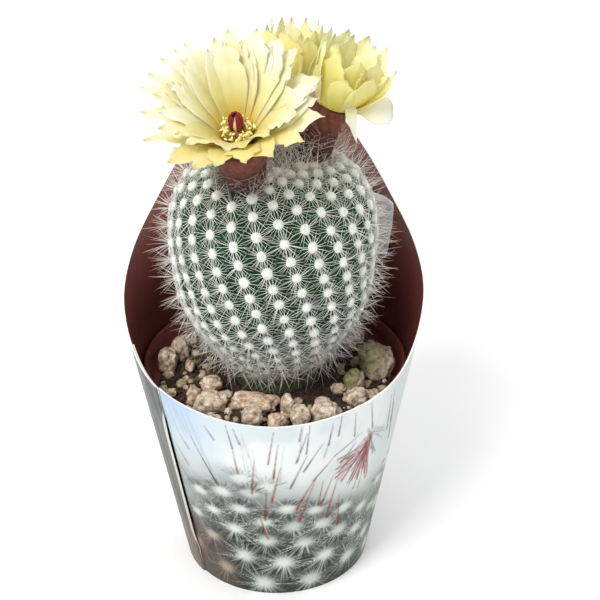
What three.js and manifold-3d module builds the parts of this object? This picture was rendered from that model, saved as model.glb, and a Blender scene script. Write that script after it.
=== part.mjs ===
// A round cactus in flower, in a small plastic pot of stony soil, with the printed card sleeve it is sold in.
// Millimetres, +Z up. The origin is the centre of the pot's underside and the sleeve's low front is at -Y.
// The plant, the pot, the sleeve, every stone and every whorl of petals is a closed body of its own.
import * as THREE from 'three';
import { mergeVertices } from 'three/addons/utils/BufferGeometryUtils.js';
import Module from 'manifold-3d';

// ---- Driving dimensions ----

const GAP = 0.3; // clearance kept between pieces that rest against each other

// Card sleeve: a cone of card, low in front, standing up as a rounded back board.
const SLEEVE_BASE_RADIUS = 22.8; // inside, at the table
const SLEEVE_FLARE = 0.181; // radius gained per mm of height
const CARD = 0.4;
const SEAM_ANGLE = -52; // degrees from the front towards +X; the outer end of the card lies here
const SLEEVE_WRAP = 382; // degrees of card, wound from the seam towards -X, so that its ends overlap by 22
const LAP_LIFT = 0.9; // how far the outer end stands off the layer under it
const LAP_FLAT = 24; // degrees over which the outer end keeps that lift
const LAP_BLEND = 50; // degrees at which the lift has eased away
const UNDERLAP_DROP = 0.6; // the covered end is cut this much lower
const SLEEVE_FACET = 4; // degrees of card per flat facet
const SLEEVE_ROWS = 2;
const EDGE_SAMPLES = 120; // points along the smooth curve of the upper edge
// Height of the card's upper edge: degrees round from the front, mm.
const SLEEVE_EDGE = [
  [0, 56.6],
  [30, 57.8],
  [58, 60.2],
  [75, 65.4],
  [90, 71.8],
  [110, 78.2],
  [130, 86.4],
  [150, 99],
  [166, 109.5],
  [180, 113.5],
];

// Blank label stuck to the inside of the back board.
const LABEL = { from: 127.1, to: 167, bottom: 70.5, top: 86, thickness: 0.25 };
const LABEL_COLUMNS = 8;

// Pot
const POT_BASE_RADIUS = 21.8;
const POT_WALL = 1;
const POT_FLOOR = 1.2;
const POT_SHOULDER_RADIUS = 28.9; // under the rim collar
const POT_SHOULDER_HEIGHT = 48.4;
const POT_RIM_RADIUS = 32.2;
const POT_RIM_HEIGHT = 55.1;
const DRAIN_HOLES = 6;
const DRAIN_RADIUS = 3;
const DRAIN_CIRCLE = 14;
const DRAIN_DRILL = 4.8; // length of the round tool that cuts each drain hole
const POT_COLLAR_TAPER = 1.1; // the rim's collar narrows by this at its lower end
const POT_FOOT_CHAMFER = 1;
const POT_SEGMENTS = 48;
const FINE_SEGMENTS = 20; // round parts a few millimetres across

// Soil and stones
const SOIL_HEIGHT = 49.6;
const STONE_BED = SOIL_HEIGHT + GAP;
const SOIL_SLACK = 0.1; // further clearance where the soil's cone runs along the pot's facets
const SOIL_SEGMENTS = 40;

// Stem: a squat barrel on a narrow foot, its axis a little behind the pot's.
const STEM_AXIS_Y = 2;
const STEM_SEGMENTS = 36;
const STEM_STEPS = 24; // points along the smooth outline
const CROWN_FROM = 88; // height of the stem's widest place, above which the crown closes
// Radius and height, from the tip of the buried foot to the dimple at the crown.
const STEM_OUTLINE = [
  [0, 38],
  [4.5, 38.6],
  [7.8, 42],
  [9.4, 46.5],
  [10.6, 50.5],
  [13.2, 56],
  [17, 62],
  [20.5, 68],
  [22.8, 74],
  [23.7, 80.5],
  [24.3, 88],
  [23.6, 95],
  [21.7, 99.6],
  [18.8, 103],
  [14.4, 105.5],
  [8.6, 106.9],
  [3.4, 106.9],
  [0, 106.2],
];

// Flowers: the throat's place, the way each faces, and the reach of its two whorls of petals.
// az is degrees from the front towards +X and up is degrees above level.
const FLOWERS = [
  {
    name: 'front_flower',
    throat: [-6.7, -14, 117.8],
    az: -10,
    up: 65,
    tube: { length: 17, base: 4.6, waist: 5.3, top: 6.6 },
    outer: { petals: 13, reach: 19.4, rise: 11.2, root: 3.6, turn: 0.1, curl: 0.88 },
    inner: { petals: 12, reach: 16.2, rise: 14.2, root: 2.75, turn: 0.34, curl: 0.8 },
    stigma: 1,
  },
  {
    name: 'right_flower',
    throat: [13.5, 3, 118.9],
    az: 98,
    up: 68,
    tube: { length: 18, base: 4.4, waist: 4.0, top: 4.4 },
    outer: { petals: 11, reach: 8.2, rise: 13.2, root: 3.6, turn: 0.2, curl: 0.35 },
    inner: { petals: 10, reach: 6.8, rise: 14.4, root: 2.75, turn: 0.5, curl: 0.3 },
    stigma: 0.86,
  },
  {
    name: 'back_flower',
    throat: [4.8, 15, 117.6],
    az: 165,
    up: 76,
    tube: { length: 16, base: 4.2, waist: 3.9, top: 4.3 },
    outer: { petals: 11, reach: 7.8, rise: 14.8, root: 3.6, turn: 0, curl: 0.35 },
    inner: { petals: 10, reach: 6.6, rise: 17, root: 2.75, turn: 0.3, curl: 0.3 },
    stigma: 0.86,
  },
];
const PETAL_THICKNESS = 0.4;
const PETAL_NOTCH = 0.3; // share of a petal's length that is free of its neighbours
const COLUMNS_PER_PETAL = 4;
const PETAL_ROWS = 3;
const WALL_STEP = 0.01; // share of a whorl's wall over which its slope is taken
const PETAL_CUPPING = 0.4; // rise of a loose petal's edges over its middle
const LOOSE_PETAL_CELLS = 6; // along it and across it

// Outlines turned about a flower's axis, as radius and height over the throat.
const STAMEN_RING = [
  [0.95, GAP],
  [2, GAP],
  [2.2, 2.2],
  [1.8, 3],
  [1.1, 2.8],
  [0.95, GAP],
];
const STYLE = [
  [0, GAP],
  [0.5, GAP],
  [0.5, 3.3],
];
// The stigma on the style's end; its radii are multiplied by the flower's stigma size.
const STIGMA_HEAD = [
  [1.25, 3.6],
  [1.7, 4.8],
  [1.4, 6.2],
  [0.6, 7.1],
  [0, 7.3],
];

// Two outer petals of the right flower that have come away from its cup.
// root, tip and side are in the row frame; width is measured along side, and sag bows the petal.
const LOOSE_PETALS = [
  {
    name: 'right_flower_spread_petal',
    root: [19.4, 1.6, 118.6],
    tip: [27.2, 2.4, 118],
    side: [0, 0.55, 0.83],
    width: 6.4,
    sag: 0.9,
  },
  {
    name: 'right_flower_hanging_petal',
    root: [18.4, -1, 119.4],
    tip: [19.1, -2.6, 112.8],
    side: [1, 0, 0],
    width: 2.4,
    sag: 0.4,
  },
];

// Stones on the soil: x, y, width, depth, height, yaw in degrees.
const STONES = [
  [-26.8, 3.2, 4.4, 5.2, 5, 10],
  [-24, 9.2, 4.6, 5.2, 5, -15],
  [-21.2, 2.4, 2.4, 3, 2.6, 0],
  [-22.4, 15.4, 3.6, 3, 2.4, 30],
  [-15.2, -7.4, 5.2, 4.4, 4.2, 20],
  [-15.2, -15.2, 6.8, 5, 4.6, -10],
  [-19.6, -10.8, 3, 3.2, 3, 0],
  [-4.9, -15.8, 10.6, 5, 4.2, -3],
  [-11.8, -11.6, 2.8, 2.4, 2.6, 15],
  [-5, -21.8, 5.6, 4.8, 4.4, 8],
  [0.6, -23, 4, 3.8, 3.6, -20],
  [3, -17.2, 3.2, 3.8, 4.2, 0],
  [6, -21.8, 4.8, 4.6, 5, 12],
  [11.8, -20.4, 5.8, 4.8, 4.6, -12],
  [5.4, -13.6, 2, 1.8, 1.6, 0],
  [11.4, -14.8, 3.6, 3, 2.8, 10],
  [15.2, -8.4, 3.2, 2.8, 2.4, 0],
  [19, -6.4, 4.8, 4.2, 4.6, -8],
  [19.4, -13.2, 4.8, 4.2, 3.8, 24],
  [25, 0.4, 7.4, 8, 7.4, 0],
  [-21.2, -17.6, 4, 2.2, 2.2, 35],
  [-25.2, -9.4, 2.8, 2.2, 2, 0],
  [-14.6, -21.4, 4, 2.2, 2, 20],
  [-17.4, 17.4, 4.8, 4.4, 4, -25],
  [-9.4, 22, 6, 4.8, 4.4, 10],
  [-1.8, 24.4, 4.6, 4, 3.6, 0],
  [5.6, 23.4, 5.8, 4.6, 4.8, -10],
  [13.4, 20.4, 5, 4.6, 4, 30],
  [19.8, 15.4, 5.6, 4.8, 4.6, -30],
  [24.6, 9.2, 4.2, 4, 3.4, 0],
];
const STONE_SINK = 0.35; // share of a stone's height below its middle, where it is cut flat

// ---- Materials ----

const finish = (color, roughness) => new THREE.MeshStandardMaterial({ color, roughness, metalness: 0 });
const MATERIALS = {
  card: finish('#b9c4c2', 0.45),
  label: finish('#d9dbe0', 0.6),
  pot: finish('#7d3f34', 0.5),
  soil: finish('#3d2b24', 1),
  stem: finish('#3f6a4c', 0.7),
  tube: finish('#5a2f24', 0.9),
  petal: finish('#f3e98f', 0.55),
  stamens: finish('#f6e27a', 0.7),
  stigma: finish('#7c0a1c', 0.5),
};
const STONE_COLOURS = ['#d8bfa6', '#c9b5a3', '#e0cdb6', '#b9a596'];

// ---- Geometry helpers ----

const wasm = await Module();
wasm.setup();

const radians = THREE.MathUtils.degToRad;

// Six times the signed volume of a closed indexed geometry.
function signedVolume(geometry) {
  const position = geometry.getAttribute('position');
  const index = geometry.index.array;
  const corners = [new THREE.Vector3(), new THREE.Vector3(), new THREE.Vector3()];
  let total = 0;
  for (let i = 0; i < index.length; i += 3) {
    corners.forEach((corner, k) => corner.fromBufferAttribute(position, index[i + k]));
    total += corners[0].dot(corners[1].cross(corners[2]));
  }
  return total;
}

// Only positions are kept, shared corners are merged and the faces are turned to point out.
function closedBody(geometry) {
  geometry.deleteAttribute('normal');
  geometry.deleteAttribute('uv');
  const merged = mergeVertices(geometry, 1e-4);
  const index = Array.from(merged.index.array);
  const kept = [];
  for (let i = 0; i < index.length; i += 3) {
    const [a, b, c] = index.slice(i, i + 3);
    if (a !== b && b !== c && c !== a) kept.push(a, b, c);
  }
  merged.setIndex(kept);
  if (signedVolume(merged) < 0) {
    for (let i = 0; i < kept.length; i += 3) [kept[i + 1], kept[i + 2]] = [kept[i + 2], kept[i + 1]];
    merged.setIndex(kept);
  }
  return merged;
}

// A profile of [radius, height] points turned about the Z axis.
function turned(profile, segments) {
  const points = profile.map(([radius, height]) => new THREE.Vector2(radius, height));
  return closedBody(new THREE.LatheGeometry(points, segments).rotateX(Math.PI / 2));
}

// A sheet with two faces: point(i, j, face) gives each corner, face 0 or 1.
// wraps joins the last column to the first.
function sheet(columns, rows, wraps, point) {
  const across = wraps ? columns : columns + 1;
  const positions = [];
  for (const face of [0, 1])
    for (let i = 0; i < across; i++)
      for (let j = 0; j <= rows; j++) positions.push(...point(i, j, face).toArray());
  const at = (i, j, face) => face * across * (rows + 1) + (i % across) * (rows + 1) + j;
  const index = [];
  const quad = (a, b, c, d) => index.push(a, b, c, a, c, d);
  for (let i = 0; i < columns; i++) {
    for (let j = 0; j < rows; j++) {
      quad(at(i, j, 0), at(i + 1, j, 0), at(i + 1, j + 1, 0), at(i, j + 1, 0));
      quad(at(i, j, 1), at(i, j + 1, 1), at(i + 1, j + 1, 1), at(i + 1, j, 1));
    }
    quad(at(i, 0, 0), at(i, 0, 1), at(i + 1, 0, 1), at(i + 1, 0, 0));
    quad(at(i, rows, 0), at(i + 1, rows, 0), at(i + 1, rows, 1), at(i, rows, 1));
  }
  if (!wraps)
    for (let j = 0; j < rows; j++) {
      quad(at(0, j, 0), at(0, j + 1, 0), at(0, j + 1, 1), at(0, j, 1));
      quad(at(columns, j, 0), at(columns, j, 1), at(columns, j + 1, 1), at(columns, j + 1, 0));
    }
  const geometry = new THREE.BufferGeometry();
  geometry.setAttribute('position', new THREE.Float32BufferAttribute(positions, 3));
  geometry.setIndex(index);
  return closedBody(geometry);
}

function solidOf(geometry) {
  return new wasm.Manifold(
    new wasm.Mesh({
      numProp: 3,
      vertProperties: geometry.getAttribute('position').array,
      triVerts: new Uint32Array(geometry.index.array),
    }),
  );
}

function geometryOf(solid) {
  const mesh = solid.getMesh();
  const geometry = new THREE.BufferGeometry();
  geometry.setAttribute('position', new THREE.BufferAttribute(mesh.vertProperties, 3));
  geometry.setIndex(Array.from(mesh.triVerts));
  return geometry;
}

const cut = (geometry, tool) => geometryOf(solidOf(geometry).subtract(solidOf(tool)));

function named(name, geometry, material) {
  const mesh = new THREE.Mesh(geometry, material);
  mesh.name = name;
  return mesh;
}

// A point on the upright cylinder of this radius, turned by degrees from the front towards +X.
function roundPoint(degrees, radius, height) {
  const angle = radians(degrees);
  return new THREE.Vector3(radius * Math.sin(angle), -radius * Math.cos(angle), height);
}

// ---- Sleeve and label ----

const sleeveInside = (height) => SLEEVE_BASE_RADIUS + SLEEVE_FLARE * height;

const edgeCurve = new THREE.SplineCurve(SLEEVE_EDGE.map(([degrees, height]) => new THREE.Vector2(degrees, height)));
const edgeSamples = edgeCurve.getPoints(EDGE_SAMPLES);

// Height of the card's upper edge at any angle round the sleeve.
function sleeveEdge(degrees) {
  const turn = Math.abs(THREE.MathUtils.euclideanModulo(degrees + 180, 360) - 180);
  const next = Math.max(1, edgeSamples.findIndex((sample) => sample.x >= turn - 1e-6));
  const low = edgeSamples[next - 1];
  const high = edgeSamples[next];
  return THREE.MathUtils.mapLinear(turn, low.x, high.x, low.y, high.y);
}

function sleeve() {
  const columns = Math.round(SLEEVE_WRAP / SLEEVE_FACET);
  return sheet(columns, SLEEVE_ROWS, false, (i, j, face) => {
    const along = (SLEEVE_WRAP * i) / columns;
    const degrees = SEAM_ANGLE - along;
    const drop = along > 360 ? UNDERLAP_DROP : 0;
    const height = ((sleeveEdge(degrees) - drop) * j) / SLEEVE_ROWS;
    const lift = LAP_LIFT * (1 - THREE.MathUtils.smoothstep(along, LAP_FLAT, LAP_BLEND));
    return roundPoint(degrees, sleeveInside(height) + lift + (face ? 0 : CARD), height);
  });
}

function label() {
  return sheet(LABEL_COLUMNS, 1, false, (i, j, face) => {
    const degrees = THREE.MathUtils.lerp(LABEL.from, LABEL.to, i / LABEL_COLUMNS);
    const height = j ? LABEL.top : LABEL.bottom;
    return roundPoint(degrees, sleeveInside(height) - GAP - (face ? LABEL.thickness : 0), height);
  });
}

// ---- Pot and soil ----

function pot() {
  const body = turned(
    [
      [0, 0],
      [POT_BASE_RADIUS - POT_FOOT_CHAMFER, 0],
      [POT_BASE_RADIUS, POT_FOOT_CHAMFER],
      [POT_SHOULDER_RADIUS, POT_SHOULDER_HEIGHT],
      [POT_RIM_RADIUS - POT_COLLAR_TAPER, POT_SHOULDER_HEIGHT + 0.6],
      [POT_RIM_RADIUS, POT_RIM_HEIGHT - 0.5],
      [POT_RIM_RADIUS - 0.4, POT_RIM_HEIGHT],
      [POT_RIM_RADIUS - POT_WALL, POT_RIM_HEIGHT],
      [POT_RIM_RADIUS - POT_COLLAR_TAPER - POT_WALL, POT_SHOULDER_HEIGHT + 1.6],
      [POT_SHOULDER_RADIUS - POT_WALL, POT_SHOULDER_HEIGHT + 0.9],
      [POT_BASE_RADIUS - POT_WALL, POT_FLOOR],
      [0, POT_FLOOR],
    ],
    POT_SEGMENTS,
  );
  let solid = solidOf(body);
  for (let i = 0; i < DRAIN_HOLES; i++) {
    const drill = new THREE.CylinderGeometry(DRAIN_RADIUS, DRAIN_RADIUS, DRAIN_DRILL, FINE_SEGMENTS);
    const hole = drill.rotateX(Math.PI / 2);
    hole.translate(...roundPoint((360 * (i + 0.5)) / DRAIN_HOLES, DRAIN_CIRCLE, 0).toArray());
    solid = solid.subtract(solidOf(closedBody(hole)));
  }
  return geometryOf(solid);
}

function soil() {
  const body = turned(
    [
      [0, POT_FLOOR + GAP],
      [POT_BASE_RADIUS - POT_WALL - GAP - SOIL_SLACK, POT_FLOOR + GAP],
      [POT_SHOULDER_RADIUS - POT_WALL - GAP - SOIL_SLACK, POT_SHOULDER_HEIGHT + 0.7],
      [POT_SHOULDER_RADIUS - POT_WALL - GAP + 0.3, SOIL_HEIGHT],
      [0, SOIL_HEIGHT],
    ],
    SOIL_SEGMENTS,
  );
  return cut(body, stem(GAP));
}

// ---- Stones ----

// A ball with lumps, stretched to the stone's size, with a flat underside on the soil.
function stone([x, y, width, depth, height, yaw], number) {
  const ball = new THREE.IcosahedronGeometry(1, width > 6 ? 2 : 1);
  const position = ball.getAttribute('position');
  const corner = new THREE.Vector3();
  for (let i = 0; i < position.count; i++) {
    corner.fromBufferAttribute(position, i);
    const lumps =
      0.12 * Math.sin(3.1 * corner.x + 1.7 * number) * Math.cos(2.6 * corner.y - number) +
      0.08 * Math.sin(4.3 * corner.z + 2.3 * number);
    corner.multiplyScalar(1 + lumps);
    corner.multiply(new THREE.Vector3(width / 2, depth / 2, height / 2));
    corner.z = Math.max(corner.z, -STONE_SINK * height);
    position.setXYZ(i, ...corner.toArray());
  }
  const mesh = named(
    `stone_${String(number).padStart(2, '0')}`,
    closedBody(ball),
    finish(STONE_COLOURS[number % STONE_COLOURS.length], 0.95),
  );
  mesh.position.set(x, y, STONE_BED + STONE_SINK * height);
  mesh.rotation.z = radians(yaw);
  return mesh;
}

// ---- Stem ----

// The stem's outline as points on a smooth curve, grown outwards by margin.
function stemProfile(margin) {
  const outline = new THREE.SplineCurve(STEM_OUTLINE.map(([radius, height]) => new THREE.Vector2(radius, height)));
  const points = outline.getPoints(STEM_STEPS);
  return points.map((point, i) => {
    const before = points[Math.max(0, i - 1)];
    const after = points[Math.min(points.length - 1, i + 1)];
    const along = after.clone().sub(before).normalize();
    const onAxis = i === 0 || i === points.length - 1;
    const radius = onAxis ? 0 : Math.max(0.05, point.x + margin * along.y);
    const height = point.y - margin * (onAxis ? Math.sign(along.x) : along.x);
    return [radius, height];
  });
}

function stem(margin = 0) {
  return turned(stemProfile(margin), STEM_SEGMENTS).translate(0, STEM_AXIS_Y, 0);
}

// Height of the crown, a gap above the stem's skin, at a place in the row frame.
const crownProfile = stemProfile(GAP).filter(([, height]) => height > CROWN_FROM).reverse();
function crownHeight({ x, y }) {
  const radius = Math.hypot(x, y - STEM_AXIS_Y);
  const next = Math.max(1, crownProfile.findIndex((point) => point[0] >= radius));
  const [innerRadius, innerHeight] = crownProfile[next - 1];
  const [outerRadius, outerHeight] = crownProfile[next];
  return THREE.MathUtils.mapLinear(radius, innerRadius, outerRadius, innerHeight, outerHeight);
}

// ---- Flowers ----

function facing({ az, up }) {
  const level = Math.cos(radians(up));
  return new THREE.Vector3(
    level * Math.sin(radians(az)),
    -level * Math.cos(radians(az)),
    Math.sin(radians(up)),
  );
}

// One whorl: a cup whose rim is cut into petals. Its wall runs from the root ring out to the reach,
// rising quickly at first and then less; curl is the share of that levelling-out.
function whorl({ petals, reach, rise, root, turn, curl }) {
  const columns = petals * COLUMNS_PER_PETAL;
  const wall = (t) => {
    const bend = (curl * Math.PI) / 2;
    return new THREE.Vector2(
      root + (reach - root) * THREE.MathUtils.lerp(Math.sin((t * Math.PI) / 2), t, curl),
      GAP + (rise * Math.sin(bend * t)) / Math.sin(bend),
    );
  };
  return sheet(columns, PETAL_ROWS, true, (i, j, face) => {
    const angle = (2 * Math.PI * (i / COLUMNS_PER_PETAL + turn)) / petals;
    const across = Math.abs(Math.sin((Math.PI * (i % COLUMNS_PER_PETAL)) / COLUMNS_PER_PETAL));
    const length = 1 - PETAL_NOTCH * (1 - across);
    const t = (length * j) / PETAL_ROWS;
    const here = wall(t);
    const along = wall(t + WALL_STEP).sub(wall(Math.max(0, t - WALL_STEP))).normalize();
    const inset = face ? PETAL_THICKNESS : 0;
    const radius = here.x - inset * along.y;
    return new THREE.Vector3(radius * Math.cos(angle), radius * Math.sin(angle), here.y + inset * along.x);
  });
}

// The flower tube, whose lower end follows the stem's crown: each corner of that end is moved along
// the tube's axis until it is a gap above the skin. placed is the flower's matrix.
function tube({ length, base, waist, top }, placed) {
  const body = turned(
    [
      [0, -length],
      [base / 2, -length],
      [base, -length],
      [base, -0.62 * length],
      [waist, -0.35 * length],
      [top, -1],
      [top - 0.6, 0],
      [0, 0],
    ],
    FINE_SEGMENTS,
  );
  const position = body.getAttribute('position');
  const corner = new THREE.Vector3();
  for (let i = 0; i < position.count; i++) {
    if (position.getZ(i) > 0.1 - length) continue;
    let low = -length;
    let high = 0;
    while (high - low > 0.001) {
      const middle = (low + high) / 2;
      corner.set(position.getX(i), position.getY(i), middle).applyMatrix4(placed);
      if (corner.z < crownHeight(corner)) low = middle;
      else high = middle;
    }
    position.setZ(i, high);
  }
  return body;
}

function flower(spec) {
  const group = new THREE.Group();
  const axis = facing(spec);
  group.position.set(...spec.throat);
  group.quaternion.setFromUnitVectors(new THREE.Vector3(0, 0, 1), axis);
  group.updateMatrix();

  group.add(named(`${spec.name}_tube`, tube(spec.tube, group.matrix), MATERIALS.tube));
  group.add(named(`${spec.name}_outer_petals`, whorl(spec.outer), MATERIALS.petal));
  group.add(named(`${spec.name}_inner_petals`, whorl(spec.inner), MATERIALS.petal));

  group.add(named(`${spec.name}_stamens`, turned(STAMEN_RING, FINE_SEGMENTS), MATERIALS.stamens));
  const head = STIGMA_HEAD.map(([radius, height]) => [radius * spec.stigma, height]);
  group.add(named(`${spec.name}_stigma`, turned([...STYLE, ...head], FINE_SEGMENTS), MATERIALS.stigma));
  return group;
}

// A single petal from root to tip, widest past its middle, bent by its sag.
function loosePetal({ name, root, tip, side, width, sag }) {
  const start = new THREE.Vector3(...root);
  const along = new THREE.Vector3(...tip).sub(start);
  const across = new THREE.Vector3(...side).projectOnPlane(along.clone().normalize()).normalize();
  const up = across.clone().cross(along).normalize();
  const geometry = sheet(LOOSE_PETAL_CELLS, LOOSE_PETAL_CELLS, false, (i, j, face) => {
    const t = j / LOOSE_PETAL_CELLS;
    const s = (2 * i) / LOOSE_PETAL_CELLS - 1;
    const half = (width / 2) * (0.25 + 0.75 * Math.sin(Math.PI * Math.pow(t, 0.8) * 0.92));
    const lift = sag * Math.sin(Math.PI * t) + PETAL_CUPPING * s * s + (face ? PETAL_THICKNESS : 0);
    return start.clone().addScaledVector(along, t).addScaledVector(across, s * half).addScaledVector(up, lift);
  });
  return named(name, geometry, MATERIALS.petal);
}

// ---- The object ----

const group = new THREE.Group();
group.add(named('card_sleeve', sleeve(), MATERIALS.card));
group.add(named('inner_label', label(), MATERIALS.label));
group.add(named('pot', pot(), MATERIALS.pot));
group.add(named('soil', soil(), MATERIALS.soil));
group.add(named('cactus_stem', stem(), MATERIALS.stem));
FLOWERS.forEach((spec) => group.add(flower(spec)));
LOOSE_PETALS.forEach((spec) => group.add(loosePetal(spec)));
STONES.forEach((spec, i) => group.add(stone(spec, i + 1)));

export default group;
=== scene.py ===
"""Looks of a round cactus in flower, potted in stony soil and wrapped in its printed card sleeve.

Shapes are worked out in millimetres, and put() writes them to meshes in metres. The origin is the
centre of the pot's underside, +Z is up and the sleeve's low front faces -Y. Turns are degrees
from the front towards +X.
"""

import itertools
import math

import bpy
import numpy as np
from mathutils import Matrix, Vector


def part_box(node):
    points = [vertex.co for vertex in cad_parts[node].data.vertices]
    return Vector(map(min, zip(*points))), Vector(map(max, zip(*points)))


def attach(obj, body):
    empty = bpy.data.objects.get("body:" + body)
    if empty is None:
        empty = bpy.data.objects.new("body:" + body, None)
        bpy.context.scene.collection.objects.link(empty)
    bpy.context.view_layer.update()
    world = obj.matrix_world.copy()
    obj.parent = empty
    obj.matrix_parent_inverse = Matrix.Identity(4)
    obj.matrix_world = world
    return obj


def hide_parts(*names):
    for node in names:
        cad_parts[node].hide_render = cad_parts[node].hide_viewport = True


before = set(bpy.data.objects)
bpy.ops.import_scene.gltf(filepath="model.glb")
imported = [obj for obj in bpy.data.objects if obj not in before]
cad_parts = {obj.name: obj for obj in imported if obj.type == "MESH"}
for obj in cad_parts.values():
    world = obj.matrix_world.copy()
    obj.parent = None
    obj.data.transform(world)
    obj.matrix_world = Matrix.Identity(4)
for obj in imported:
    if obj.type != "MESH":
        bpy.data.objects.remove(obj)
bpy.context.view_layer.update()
MM = 0.001
CHANCE = np.random.default_rng(41)


# ---- Arrays and meshes ----


def unit(a):
    """Vectors divided by their lengths."""
    return a / np.maximum(np.linalg.norm(a, axis=-1, keepdims=True), 1e-9)


def lerp(a, b, t):
    """a + (b - a) t."""
    return a + (b - a) * t


def ease(low, high, x):
    """0 below low, 1 above high, and 3q^2 - 2q^3 between."""
    q = np.clip((x - low) / (high - low), 0, 1)
    return q * q * (3 - 2 * q)


def noise(p, seed=0):
    """Values from -1 to 1 at points p: hashed whole-number corners blended by eased weights."""
    corner = np.floor(p).astype(np.int64)
    f = p - corner
    f = f * f * (3 - 2 * f)
    total = np.zeros(p.shape[:-1])
    for step in itertools.product((0, 1), repeat=3):
        c = corner + np.array(step)
        h = c[..., 0] * 374761393 + c[..., 1] * 668265263 + c[..., 2] * 69069069 + seed * 362437
        h = (h ^ (h >> 13)) * 1274126177 & 0x7FFFFFFF
        h = (h ^ (h >> 15)) & 0xFFFF
        w = np.prod(np.where(np.array(step), f, 1 - f), axis=-1)
        total += w * (h / 32767.5 - 1)
    return total


def layers(p, seed, octaves=3, gain=0.5):
    """Noise at doubling pitch, each layer gain times as strong as the one before."""
    return sum(gain**k * noise(p * 2.03**k, seed + 7 * k) for k in range(octaves))


def spline(knots, count):
    """count points on the uniform Catmull-Rom curve through the knots."""
    knots = np.asarray(knots, float)
    last = len(knots) - 1
    q = np.linspace(0, last, count)
    i = np.minimum(q.astype(int), last - 1)
    f = (q - i)[:, None]
    a, b, c, d = (knots[np.clip(i + k, 0, last)] for k in (-1, 0, 1, 2))
    return 0.5 * (
        2 * b + (c - a) * f + (2 * a - 5 * b + 4 * c - d) * f**2 + (3 * b - a - 3 * c + d) * f**3
    )


def grid(nu, nv, wrap=False):
    """Quads of an nu by nv array of points, with column nu - 1 joined to column 0 if it wraps."""
    i = np.arange(nu if wrap else nu - 1)[:, None]
    j = np.arange(nv - 1)[None]
    a = i * nv + j
    b = (i + 1) % nu * nv + j
    return np.stack([a, b, b + 1, a + 1], -1).reshape(-1, 4)


def caps(nu, nv):
    """Triangles from the first and last rows of a wrapped grid to its two poles, which follow it."""
    i = np.arange(nu)
    k = (i + 1) % nu
    low = np.stack([i * nv, np.full(nu, nu * nv), k * nv], -1)
    high = np.stack([k * nv + nv - 1, np.full(nu, nu * nv + 1), i * nv + nv - 1], -1)
    return np.concatenate([low, high])


def rims(nu, nv, wrap=False):
    """Quads that join the edges of two nu by nv grids, the second following the first."""
    n = nu * nv
    i = np.arange(nu if wrap else nu - 1)
    k = (i + 1) % nu
    j = np.arange(nv - 1)
    z = (nu - 1) * nv
    strips = [
        np.stack([i * nv, i * nv + n, k * nv + n, k * nv], -1),
        np.stack([k * nv + nv - 1, k * nv + nv - 1 + n, i * nv + nv - 1 + n, i * nv + nv - 1], -1),
    ]
    if not wrap:
        strips.append(np.stack([j, j + 1, j + 1 + n, j + n], -1))
        strips.append(np.stack([z + j, z + j + n, z + j + 1 + n, z + j + 1], -1))
    return np.concatenate(strips)


def facing(points, wrap=False):
    """Unit normals of a grid of points: the cross product of its two central differences."""
    if wrap:
        du = np.roll(points, -1, 0) - np.roll(points, 1, 0)
    else:
        du = np.gradient(points, axis=0)
    return unit(np.cross(du, np.gradient(points, axis=1)))


def part(points, faces, finish, uv=None, smooth=True, **values):
    """One shape for put(): faces is an array or a list of (array, finish, smooth)."""
    points = np.asarray(points, float).reshape(-1, 3)
    if not isinstance(faces, list):
        faces = [(faces, finish, smooth)]
    uv = np.zeros((len(points), 2)) if uv is None else np.asarray(uv, float).reshape(-1, 2)
    return {"points": points, "faces": faces, "uv": uv, "values": values}


def repeated(faces, count, size, finish):
    """Arrays of faces for count copies of one shape of size points, each copy following the last."""
    shift = (np.arange(count) * size)[:, None, None]
    return [((some + shift).reshape(-1, some.shape[1]), finish, True) for some in faces]


def shell(face, under, finish, turned=False, rim_smooth=True, uv=None, **values):
    """Thin closed sheet: a grid of points, the grid behind it and the rim that joins their edges."""
    nu, nv = face.shape[:2]
    order, edge = grid(nu, nv), rims(nu, nv)
    if turned:
        order, edge = order[:, ::-1], edge[:, ::-1]
    faces = [(order, finish, True), (order[:, ::-1] + nu * nv, finish, True), (edge, finish, rim_smooth)]
    both = {key: np.tile(np.ravel(value), 2) for key, value in values.items()}
    uv = None if uv is None else np.stack([uv, uv])
    return part(np.stack([face, under]), faces, finish, uv=uv, **both)


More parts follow.
